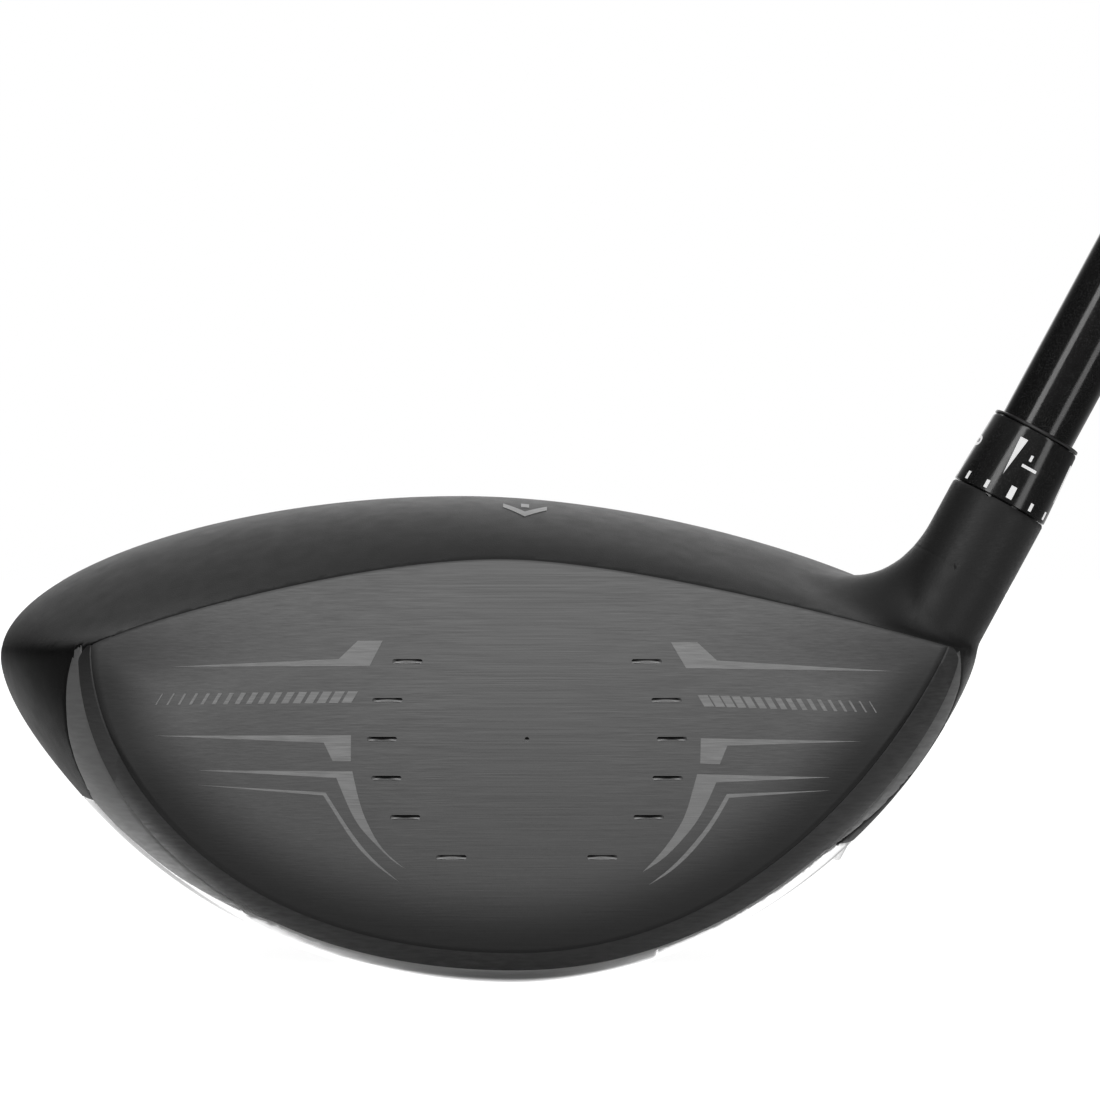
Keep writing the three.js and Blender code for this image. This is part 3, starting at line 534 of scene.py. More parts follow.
def hosel_top_field(p):
    return -hosel_coordinates(p)[1]


def rim_field(p):
    """Above zero behind the face's rim, and on the hosel, whose front stands ahead of it."""
    hosel_front = np.minimum(p[:, 0] - 48, p[:, 2] - 50)
    rim = rim_depth_at(p[:, 2])
    return np.maximum(depth_at(p) - rim * (1 - RIM_OVERLAP / RIM_DEPTH), hosel_front)


def crown_field(p):
    """Above zero on the crown side of the seam, which dips below the hosel."""
    equator = limits_at(angle_of(depth_at(p)))[:, 4]
    away = np.hypot(p[:, 0] - 58, p[:, 1] - 17)
    return p[:, 2] - equator - SEAM_ABOVE_EQUATOR + 11 * (1 - smooth(away, 9, 30))


def toe_field(p):
    tip = TOE_TIP - p[:, 0] + 3 * np.maximum(0, 43 - p[:, 2])
    return np.minimum(along(p[:, 2], TOE_BACK) - depth_at(p), np.minimum(tip, -p[:, 0]))


def heel_field(p):
    return np.minimum(np.where(p[:, 0] > 0, along(p[:, 2], HEEL_BACK) - depth_at(p), -5), 44.3 - p[:, 2])


def plate_field(p):
    depth = depth_at(p)
    left = PLATE_LEFT + 0.22 * np.minimum(depth, 10)
    right = PLATE_RIGHT - 0.15 * np.minimum(depth, 10)
    inside = np.minimum(p[:, 0] - left, right - p[:, 0])
    return np.minimum(np.minimum(inside, PLATE_DEPTH - depth), 30 - p[:, 2])


def wing_field(p):
    top = WING_TOP - 5 * smooth(p[:, 0], 0, 20)
    return np.minimum(top - p[:, 2], WING_DEPTH - depth_at(p))


def band_field(p):
    """Above zero on the bare band at the top of the hosel."""
    return hosel_coordinates(p)[1] + HOSEL_BAND


def port_field(p):
    radius, height, _ = hosel_coordinates(p)
    return np.maximum(radius - SCREW_PORT_R, height + 33)


def pocket_field(p):
    local = p - WEIGHT_AT
    height = local @ WEIGHT_Z
    radius = np.linalg.norm(local - height[:, None] * WEIGHT_Z, axis=1)
    return np.where(height > -8, radius - WEIGHT_POCKET_R, 5)


BEVEL = 0.28  # width of the turned-in edge beside a seam


def cut_skin():
    """The skin split along every panel edge, with a row of triangles beside each edge to turn in."""
    points, faces, normals = head_skin()
    for field in (hosel_top_field, rim_field, port_field, pocket_field):
        points, faces, normals = cut(points, faces, normals, field)
        kept = field(points[faces].mean(axis=1)) > 0
        points, faces, normals = compact(points, faces[kept], normals)
        points, faces, normals = cut(points, faces, normals, lambda p: field(p) - BEVEL)
    for field in (crown_field, toe_field, heel_field, plate_field, wing_field, band_field):
        for shift in (0, BEVEL, -BEVEL):
            points, faces, normals = cut(points, faces, normals, lambda p: field(p) - shift)
    return points, faces, normals / np.linalg.norm(normals, axis=1)[:, None]


def panels(points, faces):
    """A name for each triangle of the cut skin."""
    centres = points[faces].mean(axis=1)
    names = np.full(len(faces), "sole_skirt_shell", dtype=object)
    names[wing_field(centres) > 0] = "sole_wing"
    names[plate_field(centres) > 0] = "front_sole_plate_skin"
    names[toe_field(centres) > 0] = "toe_crescent"
    names[crown_field(centres) > 0] = "crown_and_hosel_shell"
    names[heel_field(centres) > 0] = "heel_crescent"
    names[band_field(centres) > 0] = "hosel_band"
    wings = names == "sole_wing"
    names[wings & (centres[:, 0] < 0)] = "toe_sole_wing"
    names[wings & (centres[:, 0] >= 0)] = "heel_sole_wing"
    return names


# ---------------------------------------------------------------- materials


class Look:
    """A procedural material: a Principled shader fed by noises in millimetres of the object's frame."""

    def __init__(self, name, color, roughness, metallic=0.0, **inputs):
        self.material = bpy.data.materials.new(name)
        self.material.use_nodes = True
        self.nodes = self.material.node_tree.nodes
        self.links = self.material.node_tree.links
        self.shader = self.nodes["Principled BSDF"]
        self.color = self.value_node(color)
        self.roughness = roughness
        self.rough_socket = None
        self.shader.inputs["Metallic"].default_value = metallic
        for key, value in inputs.items():
            self.shader.inputs[key.replace("_", " ")].default_value = value
        self.bump_normal = None

    def value_node(self, color):
        node = self.nodes.new("ShaderNodeRGB")
        shade = (color,) * 3 if np.isscalar(color) else color
        node.outputs[0].default_value = (*shade, 1)
        return node.outputs[0]

    def coordinates(self, stretch):
        source = self.nodes.new("ShaderNodeTexCoord")
        scale = self.nodes.new("ShaderNodeMapping")
        scale.inputs["Scale"].default_value = [1000 * s for s in stretch]
        self.links.new(source.outputs["Object"], scale.inputs["Vector"])
        return scale.outputs["Vector"]

    def noise(self, stretch, detail=3.0, low=0.3, high=0.7, distortion=0.0):
        """Noise from 0 to 1, with stretch in cycles per millimetre along X, Y and Z."""
        stretch = (stretch,) * 3 if np.isscalar(stretch) else stretch
        texture = self.nodes.new("ShaderNodeTexNoise")
        texture.inputs["Scale"].default_value = 1.0
        texture.inputs["Detail"].default_value = detail
        texture.inputs["Distortion"].default_value = distortion
        self.links.new(self.coordinates(stretch), texture.inputs["Vector"])
        return self.ranged(texture.outputs["Fac"], low, high)

    def ranged(self, socket, low, high, to_low=0.0, to_high=1.0):
        node = self.nodes.new("ShaderNodeMapRange")
        for key, value in (("From Min", low), ("From Max", high), ("To Min", to_low), ("To Max", to_high)):
            node.inputs[key].default_value = value
        self.links.new(socket, node.inputs["Value"])
        return node.outputs["Result"]

    def attribute(self, name):
        node = self.nodes.new("ShaderNodeAttribute")
        node.attribute_name = name
        return node.outputs["Fac"]

    def tint(self, factor, color, share=1.0):
        """Mixes another colour in where factor is high."""
        mix = self.nodes.new("ShaderNodeMix")
        mix.data_type = "RGBA"
        self.links.new(self.ranged(factor, 0, 1, 0, share), mix.inputs["Factor"])
        self.links.new(self.color, mix.inputs["A"])
        self.links.new(self.value_node(color), mix.inputs["B"])
        self.color = mix.outputs["Result"]
        return self

    def rough(self, factor, amount):
        """Adds amount to the roughness where factor is high."""
        base = self.ranged(factor, 0, 1, self.roughness, self.roughness + amount)
        self.rough_socket = base
        return self

    def bump(self, factor, height, strength=1.0):
        """Raises the surface by height millimetres where factor is high."""
        node = self.nodes.new("ShaderNodeBump")
        node.inputs["Distance"].default_value = height * MM
        node.inputs["Strength"].default_value = strength
        self.links.new(factor, node.inputs["Height"])
        if self.bump_normal:
            self.links.new(self.bump_normal, node.inputs["Normal"])
        self.bump_normal = node.outputs["Normal"]
        return self

    def done(self):
        self.links.new(self.color, self.shader.inputs["Base Color"])
        if self.rough_socket:
            self.links.new(self.rough_socket, self.shader.inputs["Roughness"])
        else:
            self.shader.inputs["Roughness"].default_value = self.roughness
        if self.bump_normal:
            self.links.new(self.bump_normal, self.shader.inputs["Normal"])
        return self.material


def paint(name, color, roughness, grain=0.012, **inputs):
    """Painted surface: fine orange peel, slow variation of colour and sheen."""
    look = Look(name, color, roughness, **inputs)
    look.tint(look.noise(0.05, 2), [c * 0.8 for c in look.color.default_value[:3]], 0.6)
    look.tint(look.noise(9.0, 1, 0.55, 0.75), 0.12, 0.12)
    look.rough(look.noise(0.4, 4), 0.06)
    return look.bump(look.noise(6.0, 2), grain).done()


def metal(name, color, roughness, lines=(0.05, 4.0, 4.0), scratch=0.004, metallic=1.0, **inputs):
    """Machined or brushed metal: fine parallel lines in colour, roughness and height."""
    look = Look(name, color, roughness, metallic, **inputs)
    shade = look.color.default_value[:3]
    line = look.noise(lines, 4, 0.35, 0.65)
    look.tint(line, [c * 0.72 for c in shade], 0.7)
    look.tint(look.noise(0.08, 3), [c * 0.86 for c in shade], 0.8)
    look.rough(line, 0.08)
    return look.bump(line, scratch).done()


def rubber(name, color, roughness):
    look = Look(name, color, roughness)
    look.tint(look.noise(1.2, 5), color * 1.9, 0.5)
    look.tint(look.noise(0.02, 2), color * 0.6, 0.6)
    look.rough(look.noise(0.8, 3), 0.1)
    return look.bump(look.noise(5.0, 5), 0.05).done()


def face_look():
    look = Look("brushed_face", 0.29, 0.36, 1.0, Anisotropic=0.5)
    line = look.noise((0.03, 3.0, 5.0), 5, 0.3, 0.7)
    fine = look.noise((0.12, 8.0, 11.0), 3, 0.35, 0.7)
    look.tint(line, 0.24, 0.55).tint(fine, 0.4, 0.35)
    look.tint(look.noise(0.03, 2), 0.27, 0.5)
    look.tint(look.attribute("edge_shade"), 0.07, 0.86)
    # Score line slots: a painted highlight on their lower half, painted shade on their upper half.
    look.tint(look.attribute("slot_painted_highlight"), 0.75).tint(look.attribute("slot_painted_shade"), 0.02)
    look.rough(line, 0.1)
    return look.bump(line, 0.004).bump(fine, 0.002).done()


LOOKS = {
    "face": face_look(),
    "rim": metal("dark_satin_rim", 0.2, 0.45, (0.5, 0.5, 3.0)),
    "graphic": metal("etched_graphic", 0.66, 0.5, (0.1, 3, 6)),
    "matt": paint("matt_black_paint", 0.026, 0.46),
    # The skirt's paint is the crown's black made darker and less reflective: painted shade on the sides and underside.
    "skirt": paint("black_paint_with_painted_shade", 0.012, 0.46, IOR=1.3),
    "band": metal("machined_band", 0.03, 0.42, (1.2, 1.2, 9.0), 0.012, metallic=0.0),
    "panel": metal("satin_grey_panel", 0.4, 0.5, (0.3, 0.3, 2.5), metallic=0.35),
    "bright": metal("polished_sole", 0.86, 0.16, (0.06, 2.0, 0.2), 0.002),
    "gloss": paint("gloss_black", 0.004, 0.12, 0.001, IOR=1.2),
    "steel": metal("turned_steel", 0.6, 0.28, (2.5, 2.5, 2.5), 0.003),
    "brass": metal("brass", (0.62, 0.42, 0.18), 0.32, (1.5, 1.5, 3.0)),
    "trim": metal("dark_trim", 0.14, 0.3, (3, 3, 0.4)),
    # White paint with an emission: the marks carry a painted glow.
    "mark": paint("white_marking_painted_glow", 0.9, 0.5, 0.004, Emission_Strength=0.55, Emission_Color=(1, 1, 1, 1)),
    "emblem": metal("silver_marking", 0.55, 0.45, (0.4, 4, 4)),
    "shaft": paint("gloss_shaft_paint", 0.003, 0.1, 0.001, IOR=1.2),
    "grip": rubber("grip_rubber", 0.035, 0.66),
    "gasket": rubber("gasket_rubber", 0.03, 0.6),
    "tape": paint("paper_tape", (0.62, 0.56, 0.44), 0.8, 0.03),
    "plug": paint("tip_plug", (0.6, 0.58, 0.5), 0.6, 0.02),
}


def piece(name, body, look, shape, replaces=(), sharp=40):
    """An object of the model from points in millimetres in the head's frame."""
    points, faces = shape
    mesh = bpy.data.meshes.new(name)
    mesh.from_pydata(((np.asarray(points) - [0, SET_BACK, 0]) * MM).tolist(), [], np.asarray(faces).tolist())
    mesh.validate()
    mesh.polygons.foreach_set("use_smooth", [True] * len(mesh.polygons))
    mesh.set_sharp_from_angle(angle=math.radians(sharp))
    mesh.materials.append(LOOKS[look])
    made = bpy.data.objects.new(name, mesh)
    bpy.context.scene.collection.objects.link(made)
    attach(made, body)
    if replaces:
        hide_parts(*replaces)
    return made


# ---------------------------------------------------------------- face


def edge_curve(rows, turns):
    x, z = on_section(rows, turns)
    return np.stack([x, z], axis=1)


FACE_TURNS = np.arange(320) * 4 / 320
FACE_OUTLINE = edge_curve(FACE_EDGE, FACE_TURNS)
FACE_WALL = 1.9


def edge_distance(flat):
    """How far points of the face lie inside its edge."""
    away = flat[:, None, :] - FACE_OUTLINE[None, :, :]
    return np.sqrt((away ** 2).sum(axis=2).min(axis=1))


def face_plate():
    shares = np.concatenate([np.linspace(0, 0.8, 24), np.linspace(0.82, 1, 20)])
    centre = np.array([0, FACE_Z])
    edge = FACE_OUTLINE + (centre - FACE_OUTLINE) * 0.0016
    flat = centre + shares[:, None, None] * (edge - centre)
    x, z = flat[..., 0], flat[..., 1]
    front = placed(x, z, 0.0)
    front[-1, :, 1] += 0.12
    back = placed(x, z, FACE_WALL)
    return lofted(np.concatenate([front, back[::-1]]))


SCORE_LINES = [(43.3, 15.8), (38.2, 18.4), (33.1, 19.1), (28.0, 18.5), (22.9, 16.0), (17.7, 9.9)]
SCORE_LENGTH, SCORE_WIDTH, SCORE_DEPTH = 4.0, 0.6, 0.4


def stadium(length, width, steps=8):
    """Outline of a slot with round ends."""
    phi = np.linspace(-np.pi / 2, np.pi / 2, steps)
    right = np.stack([length / 2 - width / 2 + width / 2 * np.cos(phi), width / 2 * np.sin(phi)], 1)
    return np.concatenate([right, -right])


def score_cutters():
    """Slots of the score lines and the small centre dimple, as one mesh to cut from the face."""
    shapes = [(sign * x, z, stadium(SCORE_LENGTH, SCORE_WIDTH), SCORE_DEPTH)
              for z, x in SCORE_LINES for sign in (-1, 1)]
    shapes.append((0, FACE_Z, stadium(0.62, 0.6), 0.3))
    all_points, all_faces, count = [], [], 0
    for x, z, outline, depth in shapes:
        y = face_y(x, z)
        rings = np.array([[[x + u * s, y + d, z + v * s] for u, v in outline]
                          for d, s in ((-1.0, 1.0), (0.5 * depth, 1.0), (depth, 0.72))])
        points, faces = lofted(rings)
        all_points.append(points)
        all_faces.append(faces + count)
        count += len(points)
    return np.concatenate(all_points), np.concatenate(all_faces)


def scored_face():
    plate = piece("face_plate", "head", "face", face_plate(), ["face_cup"], 30)
    points, faces = score_cutters()
    mesh = bpy.data.meshes.new("score_cutter")
    mesh.from_pydata(((points - [0, SET_BACK, 0]) * MM).tolist(), [], faces.tolist())
    cutter = bpy.data.objects.new("score_cutter", mesh)
    bpy.context.scene.collection.objects.link(cutter)
    boolean = plate.modifiers.new("score", "BOOLEAN")
    boolean.object, boolean.operation, boolean.solver = cutter, "DIFFERENCE", "EXACT"
    done = bpy.data.meshes.new_from_object(plate.evaluated_get(bpy.context.evaluated_depsgraph_get()))
    plate.modifiers.clear()
    plate.data = done
    bpy.data.objects.remove(cutter)
    co = np.empty(len(done.vertices) * 3)
    done.vertices.foreach_get("co", co)
    flat = co.reshape(-1, 3)[:, [0, 2]] / MM
    inside = edge_distance(flat)
    # The dark margin runs round the toe, the sole and the heel, and fades out under the crown.
    low = 1 - smooth(flat[:, 1] - 0.16 * np.abs(flat[:, 0]), 30, 46)
    shade = (1 - smooth(inside, 1.0, 11.0)) * np.maximum(low, 0.0)
    below = co.reshape(-1, 3)[:, 1] / MM + SET_BACK - face_y(*flat.T)
    # Slot floors below a score line's middle get a painted highlight, and those above it get painted shade.
    in_slot = (below > 0.15) & (below < 0.6) & (inside > 2)
    middles = np.array([z for z, _ in SCORE_LINES])
    above = flat[:, 1] - middles[np.abs(flat[:, 1, None] - middles).argmin(axis=1)]
    for key, values in (("edge_shade", shade), ("slot_painted_highlight", in_slot & (above < 0)), ("slot_painted_shade", in_slot & (above > 0))):
        attribute = done.attributes.new(key, "FLOAT", "POINT")
        attribute.data.foreach_set("value", values.astype(np.float32))
    done.set_sharp_from_angle(angle=math.radians(30))


def face_rim():
    """The narrow bevel from the face's edge to the skin, round the lower half, tapering out at both tips."""
    turns = np.linspace(1.999, 4.03, 420)
    inner_x, inner_z = on_section(FACE_EDGE, turns)
    depth = np.full(len(turns), RIM_DEPTH)
    for _ in range(6):
        outer = surface(angle_of(depth), turns % 4)
        depth = rim_depth_at(outer[:, 2])
    inner = placed(inner_x, inner_z, 0.0)
    width = np.linalg.norm(outer - inner, axis=1)
    kept = width > 0.12
    inner, outer = inner[kept], outer[kept]
    shares = np.array([0.02, 0.08, 0.5, 0.92, 0.98])
    front = inner[None] + shares[:, None, None] * (outer - inner)[None]
    across = np.gradient(inner, axis=0)
    normal = np.cross(outer - inner, across)
    normal /= np.linalg.norm(normal, axis=1)[:, None]
    normal *= -np.sign(normal[:, 1:2])
    lift = np.array([-0.12, 0, 0.0, 0, -0.12])[:, None, None]
    front = front + normal[None] * lift
    back = front[::-1] - normal[None] * 0.9
    loop = np.concatenate([front, back])
    rings = np.swapaxes(loop, 0, 1)
    return lofted(rings)


def on_face(flat, offset):
    return np.stack([flat[:, 0], face_y(flat[:, 0], flat[:, 1]) - offset, flat[:, 1]], axis=1)


TOE_GRAPHICS = [
    [(-47.3, 42.5), (-24.9, 43.6), (-22.4, 46.0), (-19.1, 46.0), (-20.8, 42.7)],
    [(-49.4, 33.4), (-23.2, 33.6), (-23.2, 30.2), (-25.6, 30.2), (-26.8, 32.6)],
    [(-43.6, 28.9), (-23.0, 28.9), (-22.4, 26.3), (-21.6, 23.6), (-20.5, 21.2), (-19.5, 19.5), (-18.4, 18.2),
     (-16.0, 16.2), (-17.8, 17.4), (-19.4, 18.9), (-21.0, 20.5), (-22.3, 22.1), (-23.9, 25.2), (-25.1, 28.0)],
    [(-43.8, 27.0), (-26.5, 26.1), (-24.9, 23.6), (-22.1, 19.6), (-19.4, 16.7), (-16.8, 14.5),
     (-19.6, 16.5), (-22.4, 19.2), (-25.3, 23.4), (-26.8, 25.7)],
]
HEEL_GRAPHICS = [
    [(19.0, 45.8), (22.5, 45.8), (25.1, 43.4), (48.6, 41.9), (21.0, 42.4)],
    [(22.9, 33.2), (44.2, 32.7), (26.4, 32.2), (25.4, 29.8), (22.8, 29.9)],
    [(22.4, 28.5), (40.0, 28.0), (24.9, 27.4), (23.3, 24.0), (22.0, 21.9), (20.5, 20.1), (17.6, 17.3), (15.2, 15.8),
     (17.5, 18.2), (19.6, 21.0), (20.7, 23.0), (21.4, 25.0)],
    [(40.1, 26.3), (26.3, 25.9), (24.1, 22.3), (21.3, 18.8), (18.6, 16.1), (16.0, 14.1),
     (18.8, 15.8), (21.6, 18.3), (24.5, 21.9), (26.6, 25.4)],
]
# Stretches of the third and fourth outline that are smooth curves, by first and last point, last ones first.
TOE_BENDS = {2: [(7, 13), (2, 7)], 3: [(5, 9), (1, 5)]}
HEEL_BENDS = {2: [(7, 11), (2, 7)], 3: [(5, 9), (1, 5)]}
DASHES, DASH_HEIGHT, DASH_LEAN = 17, 1.5, 0.9


def dash_row(start, end, sign):
    """Slanted dashes that narrow outwards."""
    made = []
    for i in range(DASHES):
        share = i / (DASHES - 1)
        middle = start[0] + (end[0] - start[0]) * share ** 0.97
        z = start[1] + (end[1] - start[1]) * share
        half = 0.5 * (1.15 * (1 - share) + 0.16)
        top, low = z + DASH_HEIGHT / 2, z - DASH_HEIGHT / 2
        lean = sign * DASH_LEAN / 2
        made.append([(middle - half - lean, top), (middle + half - lean, top),
                     (middle + half + lean, low), (middle - half + lean, low)])
    return made


def curved(outline, first, last, steps=14):
    """The outline with the points from first to last joined by a smooth curve."""
    bend = np.array(outline[first:last + 1])
    along_bend = np.concatenate([[0], np.cumsum(np.linalg.norm(np.diff(bend, axis=0), axis=1))])
    smoothed = natural_spline(along_bend, bend)(np.linspace(0, along_bend[-1], steps))
    return outline[:first] + [tuple(p) for p in smoothed] + outline[last + 1:]


def with_bends(outlines, bends):
    made = list(outlines)
    for i, stretches in bends.items():
        for first, last in stretches:
            made[i] = curved(made[i], first, last)
    return made


def face_graphics():
    heel = with_bends(HEEL_GRAPHICS, HEEL_BENDS) + dash_row((23.6, 38.1), (45.8, 37.2), 1)
    toe = with_bends(TOE_GRAPHICS, TOE_BENDS) + dash_row((-23.4, 38.6), (-48.8, 38.2), -1)
    for name, shapes in (("heel_face_graphics", heel), ("toe_face_graphics", toe)):
        piece(name, "head", "graphic", relief(shapes, on_face, 2.5, 0.05, 0.25), sharp=30)


# ---------------------------------------------------------------- head panels

PANELS = {  # look, CAD nodes it stands for, height above the skin
    "crown_and_hosel_shell": ("matt", ["crown_plate", "head_body"], 0.0),
    "hosel_band": ("band", [], 0.0),
    "sole_skirt_shell": ("skirt", [], 0.0),
    "toe_crescent": ("panel", ["toe_sole_panel"], 0.0),
    "heel_crescent": ("panel", ["heel_sole_panel"], 0.0),
    "front_sole_plate_skin": ("bright", ["front_sole_plate"], 0.3),
    "toe_sole_wing": ("bright", [], 0.0),
    "heel_sole_wing": ("bright", [], 0.0),
}
SKIN_WALL = 0.8


def head_panels():
    points, faces, normals = cut_skin()
    names = panels(points, faces)
    for name, (look, nodes, raised) in PANELS.items():
        part = compact(points, faces[names == name], normals)
        piece(name, "head", look, closed_shell(*part, SKIN_WALL, raised), nodes, 50)


def on_crown(flat, offset):
    """Points above the crown's plan, moved out along its normal."""
    made = []
    for x, y in flat:
        place, _, index, _ = body_tree.ray_cast(Vector((x, y, 120)), Vector((0, 0, -1)))
        normal = body_normals[body_faces[index]].mean(axis=0)
        made.append(np.array(place) + normal / np.linalg.norm(normal) * offset)
    return np.array(made)


def crown_mark():
    """A plain alignment mark: a chevron that points at the ball, and a short bar behind it."""
    chevron = [(-3.4, 24.5), (-0.4, 19.5), (2.6, 24.5), (2.6, 21.6), (-0.4, 16.6), (-3.4, 21.6)]
    bar = [(-0.95, 25.4), (0.15, 25.4), (0.15, 22.4), (-0.95, 22.4)]
    shapes = [[(x, y + 2) for x, y in s] for s in (chevron, bar)]
    piece("crown_alignment_mark", "head", "emblem", relief(shapes, on_crown, 1.5, 0.06, 0.2), sharp=30)


PORT_INSET = 0.45  # how far under the skin the port's wall ends


def sole_depth_along(origin, direction, inset):
    """Distance from origin to the head's surface along direction, less inset."""
    place, _, _, gap = body_tree.ray_cast(Vector(origin), Vector(direction))
    return gap - inset


def screw_port():
    """The tube from the hosel's bore through the sole, with the seat for the screw."""
    phi = np.linspace(0, 2 * np.pi, 96, endpoint=False)
    start = -24.0

    def above_skin(radius, height):
        """The height, or where a wall of this radius meets the skin if that is higher."""
        circle = on_hosel(np.stack([radius * np.cos(phi), radius * np.sin(phi), np.full(96, start)], 1))
        exits = np.array([start - sole_depth_along(p, -HOSEL_Z, PORT_INSET) for p in circle])
        return lambda angle: np.maximum(height, exits)
    profile = [
        (6.05, -24), (6.05, -29.6), (6.6, -29.7), (6.6, above_skin(6.6, -36.3)), (6.05, above_skin(6.05, -36.4)),
        (6.05, above_skin(6.05, -44)), (2.9, above_skin(2.9, -44)), (2.9, above_skin(2.9, -47)),
        (5.75, above_skin(5.75, -47)),
        (5.75, above_skin(5.75, -70)), (6.9, above_skin(6.9, -70)), (7.4, above_skin(7.4, -44)), (7.4, -24),
    ]
    return turned(profile, 96, on_hosel)


def weight_pocket():
    phi = np.linspace(0, 2 * np.pi, 96, endpoint=False)

    def rim(radius):
        circle = at_weight(np.stack([radius * np.cos(phi), radius * np.sin(phi), np.full(96, -5.0)], 1))
        return np.array([-5.0 + sole_depth_along(p, WEIGHT_Z, 0.45) for p in circle])
    inner, outer = rim(9.35), rim(10.4)
    profile = [
        (3.6, -13), (3.6, -6.05), (9.35, -6.05), (9.35, lambda a: inner), (10.4, lambda a: outer),
        (10.4, -7.2), (5.0, -7.4), (5.0, -13),
    ]
    return turned(profile, 96, at_weight)


# ---------------------------------------------------------------- sleeve, screw and shaft

COLLAR_H, COLLAR_TOP_R = 10.5, 6.28


def collar_radius(height):
    return HOSEL_R + (COLLAR_TOP_R - HOSEL_R) * (height - 0.3) / (COLLAR_H - 0.3)


def sleeve():
    """Collar, stem with its twelve splines and threaded end, hollow for the shaft above."""
    def splined(phi):
        wave = np.clip(2.5 * np.cos(12 * phi) + 0.3, -1, 1)
        return 5.33 + 0.36 * wave
    profile = eased([(4.75, -29), (3.8, -31), (3.8, -40), (5.0, -40)], 0.3, False)
    profile += [(5.0, -36.4), (splined, -36.0), (splined, -30.2), (5.7, -30.0), (5.75, -29.6), (5.75, 0.15)]
    profile += [(6.66, 0.15), (6.78, 0.27), (COLLAR_TOP_R, COLLAR_H - 0.35), (COLLAR_TOP_R - 0.12, COLLAR_H - 0.1)]
    profile += [(COLLAR_TOP_R - 0.35, COLLAR_H), (5.65, COLLAR_H), (5.6, 5.5), (4.75, 5.4)]
    return turned(profile, 240, on_hosel)


def on_collar(flat, offset):
    """Flat marks wrapped on the collar: X is the distance round from the front, Y the height."""
    angle = flat[:, 0] / HOSEL_R
    radius = collar_radius(flat[:, 1]) + offset
    return on_hosel(np.stack([radius * np.sin(angle), -radius * np.cos(angle), flat[:, 1]], axis=1))


def glyph(text, size):
    """The shapes of a short numeral, as polygons about the origin."""
    curve = bpy.data.curves.new("numeral", "FONT")
    curve.body, curve.size, curve.align_x, curve.align_y = text, size, "CENTER", "CENTER"
    curve.resolution_u, curve.offset = 4, 0.012 * size
    holder = bpy.data.objects.new("numeral", curve)
    bpy.context.scene.collection.objects.link(holder)
    mesh = holder.evaluated_get(bpy.context.evaluated_depsgraph_get()).to_mesh()
    shapes = [[(mesh.vertices[i].co.x, mesh.vertices[i].co.y) for i in p.vertices] for p in mesh.polygons]
    bpy.data.objects.remove(holder)
    bpy.data.curves.remove(curve)
    return shapes


TICK_FRONT = 3.0  # degrees round the collar from the front
NUMERALS = [(7, "-1"), (97, "0"), (187, "+1"), (277, "0")]


def sleeve_marks():
    around = math.radians(1) * HOSEL_R
    shapes = []
    for i in range(12):
        middle = (TICK_FRONT + 30.5 * (i - 12 * (i > 6))) * around if i in (0,) else (TICK_FRONT + 30 * i) * around
        half, high = (0.42, 2.55) if i % 3 == 0 else (0.25, 1.75)
        low = 0.75 if i % 3 == 0 else 0.62
        shapes.append([(middle - half, low), (middle + half, low), (middle + half, high), (middle - half, high)])
    for angle, text in NUMERALS:
        for shape in glyph(text, 3.4):
            # Numerals read down the sleeve, with their tops towards the heel.
            shapes.append([(y * 0.95 + angle * around, -x * 0.95 + 6.1) for x, y in shape])
        wedge = [(-0.6, 8.9), (0.6, 8.9), (-0.25, 3.4)]
        shapes.append([(x + (angle - 21) * around, h) for x, h in wedge])
    return relief(shapes, on_collar, 0.7, 0.03, 0.08)


def socket(phi, radius=1.9):
    """A six-lobed socket."""
    return radius * (1 + 0.16 * np.cos(6 * phi))


def screw_profile(shank, low, seat, head, high, socket_floor, lobes):
    """A screw pointing down from its head at high; threads are cut as rings along the shank."""
    pitch = 0.8
    threads = []
    for i in range(int((seat - low - 1.2) / pitch)):
        h = low + 0.6 + i * pitch
        threads += [(shank - 0.28, h), (shank, h + pitch / 2)]
    return [(0, low), (shank - 0.5, low), *threads, (shank - 0.1, seat - 0.5), (shank - 0.1, seat),
            (head - 0.1, seat), (head, seat + 0.12), (head, high - 0.45), (head - 0.12, high - 0.2),
            (head - 0.4, high), (lobes, high), (lobes, socket_floor), (0, socket_floor - 0.5)]


def hosel_screw():
    lobes = lambda phi: socket(phi, 2.1)
    profile = screw_profile(2.5, 32, 48.3, 4.2, 53, 50.2, lobes)
    return turned([(r, -h) for r, h in profile], 96, on_hosel)


def shaft_radius(height):
    return 5.2 + 2.4 * (height - 5.8) / (BUTT - 3.5 - 5.8)


BUTT = 1149 - HOSEL_TOP[2] / math.sin(LIE)
GRIP_LENGTH = 268.0


def shaft():
    heights = np.linspace(18, BUTT - 3.5, 40)
    outer = [(4.4, -27), (4.4, 5.5), (shaft_radius(5.8), 5.8)] + [(shaft_radius(h), h) for h in heights]
    inner = [(6.5, BUTT - 3.5), (4.1, 18), (3.3, 5.8), (3.3, -27)]
    return turned(outer + inner, 96, on_shaft)


